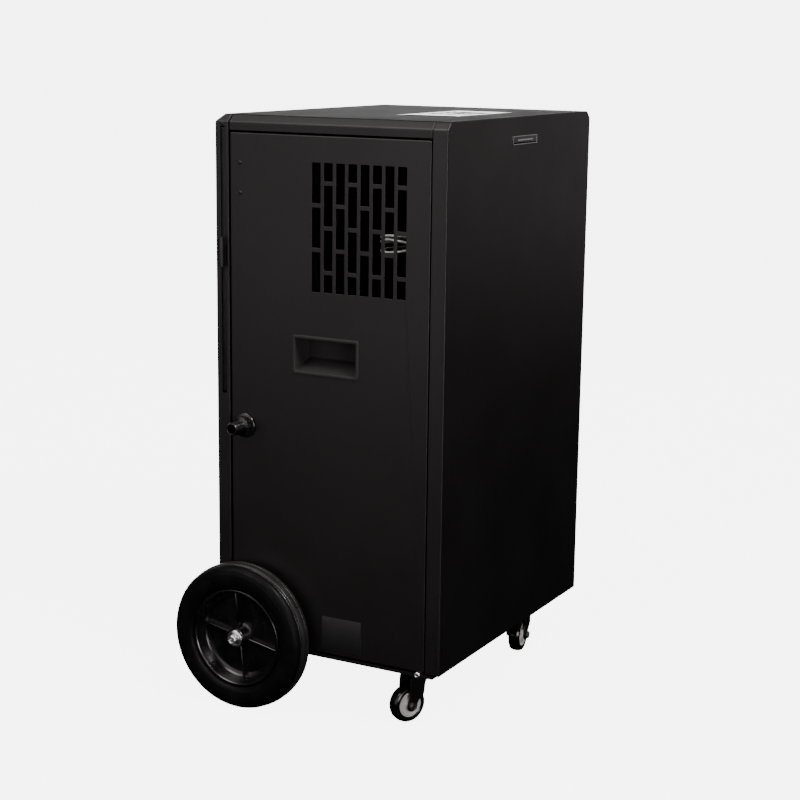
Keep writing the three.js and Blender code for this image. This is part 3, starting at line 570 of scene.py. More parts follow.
# Painted light: the tyre's rubber is split into a dark, dull sidewall copy and a lighter, glossier tread
# copy, so the tread reads lit against the black sidewall.
RUBBER = rubber("tyre_rubber", (0.002, 0.002, 0.002), 0.5, 0.12)
LIT_TREAD_RUBBER = rubber("tread_rubber_painted_light", (0.012, 0.0115, 0.0115), 0.36, 0.8)
CASTER_RUBBER = rubber("caster_rubber", (0.003, 0.003, 0.003), 0.24, 0.5)
# Painted reflection: the handle cup is a lighter, low-gloss copy of the moulded black, so its floor reads
# bright in place of a gloss reflection.
LIT_CUP_PLASTIC = moulded("cup_black_painted_light", (0.026, 0.025, 0.025), 0.45, 0.1, 0.1)
SOFT_RUBBER = rubber("soft_rubber", (0.012, 0.012, 0.012), 0.75)
ZINC = brushed("zinc", (0.75, 0.76, 0.78), 0.28, (300, 300, 300))
BRIGHT_ZINC = brushed("bright_zinc", (0.8, 0.8, 0.81), 0.3, (90, 90, 90), grain=0.05)
GALVANISED = brushed("galvanised", (0.42, 0.43, 0.44), 0.45, (60, 60, 60), 120)
ALUMINIUM = brushed("aluminium", (0.72, 0.73, 0.74), 0.35)
# Painted shade: the fins are a dark copy of the aluminium, so they read shaded inside the cabinet and don't
# glint through the door gaps.
SHADED_COIL_METAL = brushed("coil_metal_painted_shade", (0.2, 0.2, 0.205), 0.6)
BADGE_METAL = brushed("badge_metal", (0.6, 0.6, 0.61), 0.3, (15, 600, 600))
COPPER = brushed("copper", (0.78, 0.36, 0.2), 0.28, (40, 40, 40))
GLOSS = gloss("gloss_panel", (0.004, 0.004, 0.005))
LENS = gloss("display_lens", (0.008, 0.012, 0.014), 0.03)
CLOTH = woven("filter_cloth", (0.05, 0.05, 0.055))
BOARD = circuit("circuit_board")
FOIL = moulded("blank_plate", (0.006, 0.006, 0.006), 0.5, 0.02)
WIRE = moulded("wire_sleeve", (0.55, 0.55, 0.53), 0.4, 0.03)


# ---- Cabinet ----
def upright_section(bottom):
    """The cabinet's cross-section above bottom, as points of x and height, with its chamfered top corners."""
    right = [(HALF - CHAMFER, TOP), (HALF, TOP - CHAMFER), (HALF, bottom)]
    return [(-x, height) for x, height in reversed(right)] + right


def front_cover():
    section = upright_section(6)
    depth = 26
    walls = [([(x, 0, z) for x, z in section], [])]
    for (x, z), (u, w) in zip(section, section[1:] + section[:1]):
        walls.append(([(x, 0, z), (u, 0, w), (u, depth, w), (x, depth, z)], []))
    cover = shell("front_cover_sheet", walls, -Y)
    fixed(cover, "black_paint", PAINT, "front_cover")


def top_cover():
    near, far = 27.5, 403
    section = upright_section(TOP - 25.5)
    walls = []
    for (x, z), (u, w) in zip(section, section[1:]):
        holes = []
        if z == w:
            holes = [[(p, q, TOP) for p, q in rectangle(-113.6, 113.6, 75.4, 184.6, 3)]]
        walls.append(([(x, near, z), (u, near, w), (u, far, w), (x, far, z)], holes))
    for distance in (near, far):
        walls.append(([(x, distance, z) for x, z in section], []))
    cover = shell("top_cover_sheet", walls, -X)
    fixed(cover, "satin_black_paint", TOP_PAINT, "top_cover")


def grille_slots():
    """Eight columns of upright slots: three full ones, or a half, two full and a half, by turns."""
    length, web, width, pitch, low = 64.7, 7, 16, 22.4, 620.4
    top = low + 3 * length + 2 * web
    slots = []
    for column in range(8):
        near = 70.8 + column * pitch
        shift = (length + web) / 2 if column % 2 == 0 else 0
        for row in range(4):
            start = low + row * (length + web) - shift
            bottom, high = max(start, low), min(start + length, top)
            if high - bottom > 5:
                slots.append((near, near + width, bottom, high))
    return slots


def side_door(name, side):
    near, far, low, high = 28.5, 401, PANEL_LOW, 871
    middle, centre = (near + far) / 2, (low + high) / 2
    right, out = (-Y, -X) if side < 0 else (Y, X)
    place = axes(at(side * HALF, middle, centre), right, Z, out)

    def window(first, last, bottom, top, corner):
        ends = sorted((side * (first - middle), side * (last - middle)))
        return rectangle(ends[0], ends[1], bottom - centre, top - centre, corner)

    holes = [window(*slot, 1.2) for slot in grille_slots()]
    holes.append(window(CUP_BEHIND - 59, CUP_BEHIND + 59, CUP_HEIGHT - 28.7, CUP_HEIGHT + 28.7, 3))
    holes.append(window(349, 377, 12, 40, 3))
    if side < 0:
        holes.append(circle(side * (SPOUT_BEHIND - middle), SPOUT_HEIGHT - centre, 12))
    door = pan(f"{name}_door_sheet", far - near, high - low, 10, holes, place)
    fixed(door, "black_paint", PAINT, f"{name}_door")


def rear_panel():
    low, half, near, lip = PANEL_LOW, 251, POST_FRONT, 421.5
    high, ridge = TOP - CHAMFER, DEPTH - CHAMFER
    holes = []
    for middle in (-107, 107):
        for row in range(15):
            bottom = 462 + row * 28
            loop = rectangle(middle - 98, middle + 98, bottom, bottom + 14, 6.9)
            holes.append([(x, DEPTH, z) for x, z in loop])
    holes.append([(x, DEPTH, z) for x, z in circle(GLAND_X, GLAND_HEIGHT, 8.6)])
    walls = [
        ([(-half, DEPTH, low), (half, DEPTH, low), (half, DEPTH, high), (-half, DEPTH, high)], holes),
        ([(-half, DEPTH, high), (half, DEPTH, high), (half, ridge, TOP), (-half, ridge, TOP)], []),
        ([(-half, ridge, TOP), (half, ridge, TOP), (half, near, TOP), (-half, near, TOP)], []),
        ([(-half, DEPTH, low), (half, DEPTH, low), (half, lip, low), (-half, lip, low)], []),
    ]
    for x in (-half, half):
        walls.append(([(x, DEPTH, low), (x, DEPTH, high), (x, ridge, TOP), (x, near, TOP), (x, near, high),
                       (x, lip, high), (x, lip, low)], []))
    panel = shell("rear_panel_sheet", walls, Y, fold=FOLD)
    fixed(panel, "black_paint", PAINT, "rear_panel")


def rear_post(name, side):
    low, near, edge, lip = PANEL_LOW, POST_FRONT, -252, -266
    high, ridge, shoulder = TOP - CHAMFER, DEPTH - CHAMFER, CHAMFER - HALF
    slot = [[(-HALF, d, z) for d, z in rectangle(410.5, 419.5, 435, 881, 1)]] if side < 0 else []
    walls = [
        ([(-HALF, near, low), (-HALF, DEPTH, low), (-HALF, DEPTH, high), (-HALF, near, high)], slot),
        ([(-HALF, near, high), (-HALF, DEPTH, high), (shoulder, ridge, TOP), (shoulder, near, TOP)], []),
        ([(-HALF, DEPTH, low), (edge, DEPTH, low), (edge, DEPTH, high), (-HALF, DEPTH, high)], []),
        ([(-HALF, DEPTH, high), (edge, DEPTH, high), (edge, ridge, TOP), (shoulder, ridge, TOP)], []),
        ([(shoulder, near, TOP), (shoulder, ridge, TOP), (edge, ridge, TOP), (edge, near, TOP)], []),
        ([(-HALF, near, low), (lip, near, low), (lip, near, TOP - SHEET), (shoulder, near, TOP),
          (-HALF, near, high)], []),
    ]
    post = sided(shell(f"{name}_rear_post", walls, -X, border=3.5, fold=1.8), side)
    fixed(post, "black_paint", PAINT, f"post_rear_{name}")


def handle_cup(name, side):
    width, tall, lip, depth, slope = 126, 65.5, 6, 42, 16
    place = axes(at(-HALF, CUP_BEHIND, CUP_HEIGHT), -Y, Z, -X)
    rows = [(0, 0.1, 5), (0.1, 1.2, 5), (0.6, 1.9, 4.6), (1.4, 2.2, 4), (4.3, 2.2, 3), (5.2, 1.9, 2.6),
            (5.8, 1.2, 2.3), (lip, 0, 2.2), (lip, -3, 2.2)]
    rows += [(lip, -3 - (depth - 3) * k / 6, 2.2) for k in range(1, 7)]
    bm = bmesh.new()
    rings = []
    for inset, level, corner in rows:
        deep = max(0, (-level - 3) / (depth - 3))
        loop = rectangle(-width / 2 + inset, width / 2 - inset, -tall / 2 + inset + slope * deep,
                         tall / 2 - inset - deep, corner)
        rings.append(level_ring(bm, loop, level))
    loft(bm, rings)
    back = fill(bm, [rings[-1]])
    face_out(bm, back[0], Z)
    cup = moved(to_object(bm, f"{name}_handle_cup", closed=False), place)
    cup = bevelled(walled(sided(cup, side), 1.2), 0.5, 3, 35)
    # Painted reflection: the lighter cup copy stands in for the reflection on the cup's floor.
    fixed(cup, "moulded_black", LIT_CUP_PLASTIC, f"handle_cup_{name}")


def badge():
    place = axes(at(0, 0, 861.25), X, Z, -Y)
    outer = rectangle(-47.3, 47.3, -7.4, 7.4, 2)
    inner = rectangle(-45.6, 45.6, -5.7, 5.7, 1.2)
    rim = plate("badge_rim", outer, [inner], 0.1, 1.5, 0.3, place)
    face = plate("badge_face", inward(inner, 0.05), [], 0.1, 1.0, 0.1, place)
    fixed(rim, "aluminium", BADGE_METAL, "badge")
    fixed(face, "gloss_panel", GLOSS)
    stripe = plate("badge_stripe", rectangle(-30, 30, -1.6, 1.6, 0.8), [], 1.0, 1.2, 0.1, place)
    fixed(stripe, "aluminium", BADGE_METAL)


def blank_plate():
    place = axes(at(-HALF, 185, 44.5), -Y, Z, -X)
    face = plate("blank_rating_plate", rectangle(-39, 39, -29.5, 29.5, 3), [], 0.05, 0.5, 0.15, place)
    fixed(face, "black_paint", FOIL)


def cabinet_screws():
    heads = []
    for side in (-1, 1):
        for distance, height in ((381, 822.5), (381, 773.5), (381, 120)):
            heads.append(screw(at(side * HALF, distance, height), X * side, 3.2, 1.9))
        heads.append(screw(at(side * HALF, 416, 885), X * side, 2.6, 1.2))
    for x in (-243, 0, 243):
        for height in (40, 440, 850):
            heads.append(screw(at(x, DEPTH, height), Y, 3.4, 2.0))
    fixed(joined("cabinet_screws", heads), "black_paint", PLASTIC)
    bolts = [screw(at(side * HALF, 40, 2.9), X * side, 5.5, 2.8, True) for side in (-1, 1)]
    fixed(joined("base_bolts", bolts), "zinc", ZINC)


def control_panel():
    place = Matrix.Translation(at(0, 130, TOP))
    window = rectangle(-40.2, 40.2, -36.2, 0.2, 2)
    places = [(i - 1.5) * 26 for i in range(4)]
    holes = [window] + [circle(x, 22, 6.3, 40) for x in places]
    fascia = plate("control_fascia_plate", rectangle(-113, 113, -54, 54, 3), holes, -5, 0, 0.4, place)
    fixed(fascia, "gloss_panel", GLOSS, "control_fascia")
    lens = plate("display_lens", inward(window, 0.25), [], -1.8, -0.25, 0.3, place)
    fixed(lens, "display_lens", LENS, "display_window")
    lamps = [lathe("lamp", [(0, -1), (1.3, -1), (1.3, 0.05), (0, 0.12)], Z, at(x, 139.5, TOP), 20, 0.2)
             for x in places]
    fixed(joined("indicator_lamps", lamps), "pale_hub", WIRE)
    for i, x in enumerate(places):
        profile = [(0, -10.4), (7.6, -10.4), (7.6, -8), (6, -8), (6, -0.2), (5.2, 0), (2, -0.6), (0, -0.7)]
        button = lathe(f"push_button_{i + 1}", profile, Z, at(x, 152, TOP), 40, 0.5)
        fitted(button, f"button_{i + 1}", "moulded_black", PLASTIC, f"button_{i + 1}")


# ---- Filter ----
def filter_unit():
    left, right, low, high = -279, 244, 437, 879
    place = axes(at(0, 418.5, 0), -X, Z, Y)
    loop = rectangle(-right, -left, low, high, 3)
    columns, rows, border, overlap = 4, 3, 14, 0.3
    wide, tall = (right - left - 2 * border) / columns, (high - low - 2 * border) / rows
    windows = []
    for i in range(columns):
        for j in range(rows):
            x, z = -right + border + i * wide, low + border + j * tall
            windows.append(rectangle(x + 1.2, x + wide - 1.2, z + 1.2, z + tall - 1.2, 3))
    frame_bars = plate("filter_border", loop, windows, -7, 0, 0.6, place)
    tab = cabinet_bar("tab", (-291, -278), (416.3, 418.5), (649, 699), 0.6)
    lip = cabinet_bar("lip", (-291, -289), (409.5, 418.5), (649, 699), 0.6)
    whole = joined("filter_border", [frame_bars, tab, lip])
    fitted(whole, "filter", "moulded_black", PLASTIC, "filter_frame")
    bm = bmesh.new()
    bmesh.ops.create_grid(bm, x_segments=60, y_segments=48, size=0.5)
    margin = 2 * (border - overlap)
    size = Vector((right - left - margin, high - low - margin)) * MM
    centre = at((left + right) / 2, 415, (low + high) / 2)
    for vert in bm.verts:
        x, y, _ = vert.co
        sag = 0.5 * math.sin(x * columns * math.pi) * math.sin(y * rows * math.pi)
        vert.co = centre + Vector((x * size.x, sag * MM, y * size.y))
    cloth = walled(to_object(bm, "filter_cloth_sheet", closed=False), 0.4)
    fitted(cloth, "filter", "filter_cloth", CLOTH, "filter_mesh")


# ---- Air path ----
FAN = at(0, 270, FAN_HEIGHT)


def bulkhead():
    place = axes(at(0, 285, 0), X, Z, -Y)
    outer = rectangle(-260, 260, 411, 868, 2)
    sheet = plate("fan_bulkhead_sheet", outer, [circle(0, FAN_HEIGHT, 184, 96)], -1.5, 0, 0.3, place)
    profile = [(184, 1.6), (183.4, -8), (184, -20), (186, -26), (190, -27.5), (192, -26), (190, -24.5),
               (187, -22), (185.6, -8), (186, 1.6)]
    ring = lathe("ring", profile, Y, at(0, 285, FAN_HEIGHT), 96, 0.5)
    lip = cabinet_bar("lip", (-260, 260), (285, 297), (866.5, 868), 0.3)
    whole = joined("fan_bulkhead_sheet", [sheet, ring, lip])
    fixed(whole, "black_paint", INNER_PAINT, "fan_bulkhead")


def impeller():
    profile = [(0, 18), (34, 18), (41, 12), (42, 4), (42, -18), (39, -18), (39, 2), (10, 6), (10, -18),
               (5.5, -18), (5.5, -50), (0, -50)]
    parts = [lathe("hub", profile, Y, FAN, 64, 1.5)]
    along, across = 14, 10
    for blade in range(5):
        bm = bmesh.new()
        grid = []
        for i in range(along + 1):
            share = i / along
            radius = 40 + 132 * share
            chord = 62 + 80 * math.sin(share * math.pi / 2)
            pitch = math.radians(44 - 24 * share)
            row = []
            for j in range(across + 1):
                step = (j / across - 0.5) * chord * (1 - 0.12 * share ** 4)
                camber = 5 * (1 - (2 * j / across - 1) ** 2)
                turn = step * math.cos(pitch) / radius + 0.22 * share + 2 * math.pi * blade / 5
                height = step * math.sin(pitch) + camber * math.cos(pitch) - 2
                spot = Vector((radius * math.cos(turn), height, radius * math.sin(turn)))
                row.append(bm.verts.new(FAN + spot * MM))
            grid.append(row)
        for first, second in zip(grid, grid[1:]):
            for j in range(across):
                bm.faces.new([first[j], first[j + 1], second[j + 1], second[j]])
        bmesh.ops.solidify(bm, geom=bm.faces[:], thickness=2 * MM)
        parts.append(to_object(bm, "blade", 50))
    fitted(joined("fan_impeller_moulding", parts), "fan", "moulded_black", PLASTIC, "fan_impeller")


def motor():
    profile = [(0, 0), (20, 0), (22, 2), (40, 3), (46, 8), (48, 14), (48, 34), (46.6, 35), (46.6, 38),
               (48, 39), (48, 66), (45, 73), (38, 77), (16, 77), (15, 82), (7, 82), (7, 55), (0, 55)]
    body = lathe("fan_motor_shell", profile, Y, at(0, 161.5, FAN_HEIGHT), 72, 1.2)
    fixed(body, "black_paint", INNER_PAINT, "fan_motor")


def motor_wires():
    """Three pale leads inside the grille, from the front corner back to the motor."""
    routes = (
        ((40, 719), (66, 719), (92, 719), (116, 718), (136, 712), (146, 702), (152, 690)),
        ((40, 704), (66, 707), (92, 711), (116, 712), (136, 704), (146, 696), (152, 684)),
        ((40, 702), (66, 699), (92, 694), (116, 692), (136, 692), (146, 688), (152, 678)),
    )
    depths = (-264, -264, -264, -263, -240, -160, -60)
    runs = []
    for route in routes:
        points = [at(x, distance, height) for x, (distance, height) in zip(depths, route)]
        runs.append(tube("lead", points, 1.7, 12))
    fixed(joined("motor_leads", runs), "pale_hub", WIRE)


def fin_pack(name, node, near, far):
    """Upright fins between two end plates, with return bends outside them."""
    bm = bmesh.new()
    pitch, half = 2.4, 0.12
    count = int(448 / pitch)
    for i in range(count + 1):
        x = (i - count / 2) * pitch
        outline = rectangle(x - half, x + half, near + 1, far - 1)
        ends = [[bm.verts.new(at(*point, height)) for point in outline] for height in (414, 852)]
        loft(bm, ends)
        for end in ends:
            bm.faces.new(end)
    fins = [to_object(bm, "fins")]
    for x in (-226, 226):
        fins.append(cabinet_bar("plate", (x - 1.5, x + 1.5), (near, far), (411, 855), 0.3))
    # Painted shade: the fins take the dark coil copy of the aluminium.
    fixed(joined(f"{name}_fins", fins), "aluminium", SHADED_COIL_METAL, node)
    bends = []
    for side in (-1, 1):
        for distance in (near + 10, far - 10):
            for k in range(9 if side < 0 else 8):
                low = 426 + k * 47 + (23.5 if side > 0 else 0)
                route = ((0, 0), (6, 1), (11, 11.7), (6, 22.5), (0, 23.5))
                points = [at(side * (227.5 + reach), distance, low + rise) for reach, rise in route]
                bends.append(tube("bend", points, 4.2, 12, 4))
    fixed(joined(f"{name}_bends", bends), "copper", COPPER)


# ---- Refrigeration ----
def capsule(radius, height, seam):
    dome = []
    for k in range(9):
        turn = math.pi / 2 * k / 8
        dome.append((radius * 0.965 * math.sin(turn), height * 0.16 * (1 - math.cos(turn))))
    rim = radius * 0.965
    middle = height * seam
    band = [(rim, middle - 5), (radius, middle - 4), (radius, middle + 4), (rim, middle + 5)]
    return dome + band + [(r, height - z) for r, z in reversed(dome)]


def refrigeration():
    hull = lathe("compressor_shell", capsule(74, 236, 0.62), Z, at(-60, 215, 23.2), 80, 1)
    cover = cabinet_bar("cover", (-80, -40), (134, 150), (120, 170), 4)
    fixed(joined("compressor_shell", [hull, cover]), "black_paint", PAINT, "compressor")
    mounts = [cabinet_bar("plate", (-145, 25), (135, 295), (18.8, 22.8), 1)]
    for dx in (-66, 66):
        for dy in (-62, 62):
            profile = [(0, 0), (15, 0), (15, 3), (12, 6), (12, 10), (15, 13), (15, 16.1), (0, 16.1)]
            mounts.append(lathe("foot", profile, Z, at(-60 + dx, 215 + dy, 2.8), 32, 1))
    fixed(joined("compressor_feet", mounts), "soft_rubber", SOFT_RUBBER, "compressor_mount")
    tank = lathe("accumulator_shell", capsule(24, 160, 0.5), Z, at(46, 215, 60), 48, 0.6)
    fixed(tank, "copper", COPPER, "accumulator")
    hot = [(-60, 215, 259.5), (-60, 215, 309.2), (0, 215, 339.2), (206, 298, 344.2), (246, 318, 374.2),
           (246, 318, 400), (246, 318, 430), (246, 318, 500), (243, 318, 515), (236, 318, 520),
           (228.5, 318, 520)]
    cold = [(228.5, 376, 600), (236, 376, 600), (244, 376, 592), (246, 376, 575), (246, 376, 440),
            (246, 376, 390), (246, 376, 330), (206, 356, 290), (106, 285, 280), (46, 225, 270),
            (46, 215, 250), (46, 215, 220.3)]
    for name, node, route, radius in (("hot_gas_tube", "discharge_tube", hot, 4.6),
                                      ("suction_line", "suction_tube", cold, 6)):
        line = tube(name, [at(*point) for point in route], radius, 20, 10)
        fixed(line, "copper", COPPER, node)


def electrics():
    can = [(0, 0), (20, 0), (20.6, 1), (20.6, 84), (21, 85), (21, 87.4), (19.6, 88), (19, 86.5), (0, 86.5)]
    body = lathe("can", can, Z, at(170, 120, 132.3), 48, 0.4)
    tabs = [cabinet_bar("tab", (x - 3, x + 3), (119.6, 120.4), (218, 222), 0.1) for x in (161, 179)]
    fixed(joined("capacitor_can", [body] + tabs), "aluminium", ALUMINIUM, "capacitor")
    gland = [(4.5, -12), (12, -12), (12, -3.8), (8, -3.8), (8, 0.3), (12, 0.3), (12, 5), (11, 5.6),
             (11, 10.5), (10.2, 15), (8, 19), (6, 20), (4.5, 20)]
    place = at(GLAND_X, DEPTH, GLAND_HEIGHT)
    neck = lathe("gland", gland, Y, place, 48, 0.5)
    ribs = grips(place, Y, X, 10.9, 12, [(0, 5.8), (1.1, 5.8), (1.1, 10.4), (0, 10.4)], 12)
    fixed(joined("cable_gland_nut", [neck] + ribs), "moulded_black", PLASTIC, "cable_gland")


# ---- Drain ----
def drain():
    place = at(-HALF, SPOUT_BEHIND, SPOUT_HEIGHT)
    spout = [(8, -42), (9.6, -42), (11.6, -37), (11.6, -35.4), (9.9, -35), (11.6, -30.5), (11.6, -29),
             (9.9, -28.6), (11.6, -24), (11.6, -22.6), (10.4, -22), (10.4, -17), (15.5, -15.5), (15.5, -6.5),
             (13.5, -5), (20.2, -4.4), (21, -3.4), (21, -0.1), (11.5, -0.1), (11.5, 18), (8, 18)]
    body = lathe("spout", spout, X, place, 64, 0.5)
    ribs = grips(place, X, Y, 15.3, 16, [(0, -14.8), (1.2, -14.8), (1.2, -7), (0, -7)], 10)
    fixed(joined("drain_spout_moulding", [body] + ribs), "moulded_black", HUB_PLASTIC, "drain_spout")
    nut = plate("spout_lock_nut", circle(0, 0, 18.8, 6), [circle(0, 0, 12, 40)], -4, 4, 0.6,
                axes(place + X * (SHEET + 4.3) * MM, Y, Z, X))
    fixed(nut, "moulded_black", PLASTIC, "spout_nut")
    route = [(-120, 393.7), (-120, 368.7), (-132, 341.7), (-168, 331.7), (-204, 345.7), (-224, 372),
             (-242, SPOUT_HEIGHT), (-261.7, SPOUT_HEIGHT)]
    hose = tube("drain_hose_run", [at(x, SPOUT_BEHIND, height) for x, height in route], 8.8, 24, 10)
    fixed(hose, "soft_rubber", SOFT_RUBBER, "drain_hose")


# ---- Rear wheels ----
WHEEL_RADIUS = 127
WHEEL_PLACE = at(-HALF - 8, 363, 0)
WHEEL_PLACE.z = WHEEL_RADIUS * MM


def rear_wheel(name, side):
    """Profiles run outboard from the tyre's inner face, and are made as the left wheel's."""
    tyre = [(87, 6), (90, 3.4), (94, 2), (100, 1.6), (101, 0.9), (111, 0.4), (118, 1), (122.5, 3.6),
            (125.4, 8), (126.4, 13), (126.6, 15.4), (124.2, 16), (124.2, 17.6), (126.8, 18.2), (127, 23.5),
            (126.6, 28.6), (123, 29.6), (122.6, 32.8), (125.6, 34), (124.8, 38.5), (122.6, 42.4),
            (118.5, 45.8), (112, 47.6), (104, 48), (95, 47.2), (91, 45.6), (89, 42.6), (87, 42)]
    tread = tyre[7:19] + [(119, 34), (119, 8)]
    tyre[8:18] = [(radius - 0.4, across) for radius, across in tyre[8:18]]
    hub = [(8.3, -4), (17, -4), (17, 12), (71, 14), (77, 8), (85.7, 7), (86.7, 9), (86.7, 40), (84.5, 43.2),
           (81.5, 43.4), (80, 41.5), (78.2, 36), (73.5, 26), (71, 23.6), (66, 22.4), (22, 22.2), (18, 24),
           (16.6, 42), (15.4, 44), (8.3, 44)]
    washer = [(8.3, 44.3), (14, 44.3), (14.2, 45), (13.2, 46), (11, 46.9), (8.3, 46.6)]
    rubber_ring = sided(lathe(f"{name}_tyre", tyre, -X, WHEEL_PLACE, 128, 0.9), side)
    fitted(rubber_ring, f"wheel_{name}", "tyre_rubber", RUBBER, f"tyre_{name}")
    # Painted light: the tread band takes the lighter tread copy of the tyre rubber, so it reads lit.
    band = sided(lathe(f"{name}_tread", tread, -X, WHEEL_PLACE, 128, 0.9), side)
    fitted(band, f"wheel_{name}", "tyre_rubber", LIT_TREAD_RUBBER)
    body = [lathe("hub", hub, -X, WHEEL_PLACE, 128, 0.8)]
    for angle in (11, 84, 191, 264):
        turn = Matrix.Rotation(math.radians(angle), 4, "X")
        rib = bar("rib", (-30.5, 15.5, -1.5), (-20, 75.5, 1.5), 0.6)
        body.append(moved(moved(rib, turn), Matrix.Translation(WHEEL_PLACE)))
    disc = sided(joined(f"{name}_hub", body), side)
    fitted(disc, f"wheel_{name}", "moulded_black", HUB_PLASTIC, f"wheel_hub_{name}")
    cap = sided(lathe(f"{name}_axle_washer", washer, -X, WHEEL_PLACE, 48, 0.3), side)
    fixed(cap, "zinc", BRIGHT_ZINC, f"axle_washer_{name}")


def axle():
    half, bore = 344, 4
    end = [(0, half - 10), (bore - 0.4, half - 9.6), (bore, half - 1), (bore + 0.8, half), (6.8, half),
           (8, half - 1.4)]
    profile = [(radius, -x) for radius, x in end] + [(radius, x) for radius, x in reversed(end)]
    rod = lathe("axle_bar", profile, X, Vector((0, WHEEL_PLACE.y, WHEEL_PLACE.z)), 48, 0.5)
    fixed(rod, "zinc", BRIGHT_ZINC, "axle")


# ---- Casters, in their own frame: swivel axis at the origin on the floor, trailing towards +X ----
CASTER_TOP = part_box("caster_plate_left")[1].z / MM


def caster(name, side, heading):
    stand = Matrix.Translation((side * (HALF - 72) * MM, FRONT + 75 * MM, 0))
    swivel = stand @ Matrix.Rotation(math.radians(heading), 4, "Z")
    radius, trail, eye = 32, 24, 10.5
    wheel = Vector((trail, 0, radius)) * MM
    holes = [circle(x, y, 4, 20) for x in (-23, 23) for y in (-23, 23)]
    mount = plate("mount", rectangle(-32, 32, -32, 32, 5), holes, CASTER_TOP - 3, CASTER_TOP, 0.4)
    race = [(0, -3), (18, -3), (19, -4), (19, -6), (17, -7), (6, -7), (6, -16), (10, -16), (10, -19),
            (8, -20), (0, -20)]
    pin = lathe("pin", race, Z, Z * CASTER_TOP * MM, 40, 0.4)
    bolts = [screw(Vector((x, y, CASTER_TOP - 3)) * MM, -Z, 6, 4, True) for x in (-23, 23) for y in (-23, 23)]
    fixed(moved(joined(f"{name}_caster_mount", [mount, pin] + bolts), stand), "zinc", ZINC,
           f"caster_plate_{name}")
    top = CASTER_TOP - 7.4
    front, rear = -14, trail + 4
    outline = [(front, top), (front + 11, top - 14), (0, radius + 16), (trail - eye - 0.5, radius + 5)]
    outline += [(trail + eye * math.cos(math.radians(a)), radius + eye * math.sin(math.radians(a)))
                for a in range(180, 361, 15)]
    outline += [(rear + 2, radius + 14), (rear, top - 6), (rear - 4, top)]
    outline = eased(outline, 5)
    legs = []
    for start in (-16.5, 14):
        place = axes(Vector((0, (start + 2.5) * MM, 0)), X, Z, -Y)
        legs.append(plate("leg", outline, [circle(trail, radius, 4.3, 24)], 0, 2.5, 0.5, place))
    deck = plate("deck", rectangle(front, rear - 4, -15, 15, 2), [circle(0, 0, 6.3, 24)], top - 3, top, 0.5)
    collar = [(6.3, -4.6), (19, -4.6), (20, -3), (20, -0.8), (19, 0), (6.3, 0)]
    crown = lathe("crown", collar, Z, Z * top * MM, 40, 0.5)
    fork = moved(joined(f"{name}_caster_fork_steel", legs + [deck, crown]), swivel)
    fitted(fork, f"caster_{name}", "black_paint", PAINT, f"caster_fork_{name}")
    half_tread = [(22, 9.6), (24, 10.4), (27, 11), (29.5, 9.8), (31.2, 6.5)]
    tread = [(r, -across) for r, across in half_tread] + [(radius, 0)] + half_tread[::-1]
    tyre = moved(lathe(f"{name}_caster_tread", tread, Y, wheel, 64, 0.6), swivel)
    fitted(tyre, f"caster_wheel_{name}", "tyre_rubber", CASTER_RUBBER, f"caster_tyre_{name}")
    half_disc = [(4.3, 13), (8, 13), (9, 12), (9.4, 9.4), (11, 8.2), (17.6, 7.6), (19, 9.6), (21.7, 10)]
    disc = [(r, -across) for r, across in half_disc] + half_disc[::-1]
    hub = moved(lathe(f"{name}_caster_disc", disc, Y, wheel, 64, 0.5), swivel)
    fitted(hub, f"caster_wheel_{name}", "pale_hub", PALE, f"caster_hub_{name}")
    shaft = lathe("shaft", [(0, -21), (3.6, -21), (4, -20), (4, 20), (3.6, 21), (0, 21)], Y, wheel, 24, 0.3)
    ends = []
    for start in (-21.5, 16.9):
        place = axes(wheel + Vector((0, (start + 4.6) * MM, 0)), X, Z, -Y)
        ends.append(plate("nut", circle(0, 0, 7, 6), [], 0, 4.6, 0.7, place))
    bolt = moved(joined(f"{name}_caster_axle", [shaft] + ends), swivel)
    fitted(bolt, f"caster_{name}", "zinc", ZINC, f"caster_bolt_{name}")


# ---- Nodes that keep their own shape ----
KEPT = {
    "base_pan": (PAINT, 0.5), "front_frame": (INNER_PAINT, 0.4), "drip_tray": (GALVANISED, 0.4),
    "motor_bracket": (INNER_PAINT, 0.5), "filter_track": (INNER_PAINT, 0.4),
    "electrical_box": (GALVANISED, 0.5), "control_housing": (PLASTIC, 0.6), "control_board": (BOARD, 0.2),
    "axle_bracket_left": (PAINT, 0.8), "axle_bracket_right": (PAINT, 0.8),
}


def kept_nodes():
    for node, (material, edge) in KEPT.items():
        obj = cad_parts[node]
        obj.data.materials.clear()
        obj.data.materials.append(material)
        bevelled(obj, edge)


# ---- Camera, light and floor ----
def camera():
    data = bpy.data.cameras.new("camera")
    data.lens = 78.7
    data.sensor_width = 36
    data.clip_start, data.clip_end = 0.1, 200
    obj = placed("camera", data)
    azimuth, elevation, roll = (math.radians(a) for a in (61.46, 11.76, 0.70))
    view = Vector((math.sin(azimuth) * math.cos(elevation), math.cos(azimuth) * math.cos(elevation),
                   -math.sin(elevation)))
    right = Vector((math.cos(azimuth), -math.sin(azimuth), 0))
    up = right.cross(view)
    tilted = right * math.cos(roll) + up * math.sin(roll)
    raised = up * math.cos(roll) - right * math.sin(roll)
    place = at(-HALF, 0, 0) + Vector((-2399.2, -1226.6, 1027.9)) * MM
    obj.matrix_world = axes(place, tilted, raised, -view)
    bpy.context.scene.camera = obj


def lamp(name, place, target, size, power, colour=(1, 1, 1)):
    data = bpy.data.lights.new(name, "AREA")
    data.shape = "RECTANGLE"
    data.size, data.size_y = size
    data.energy = power
    data.color = colour
    obj = placed(name, data)
    obj.location = place
    obj.rotation_euler = (Vector(target) - Vector(place)).to_track_quat("-Z", "Y").to_euler()
    obj.visible_camera = False


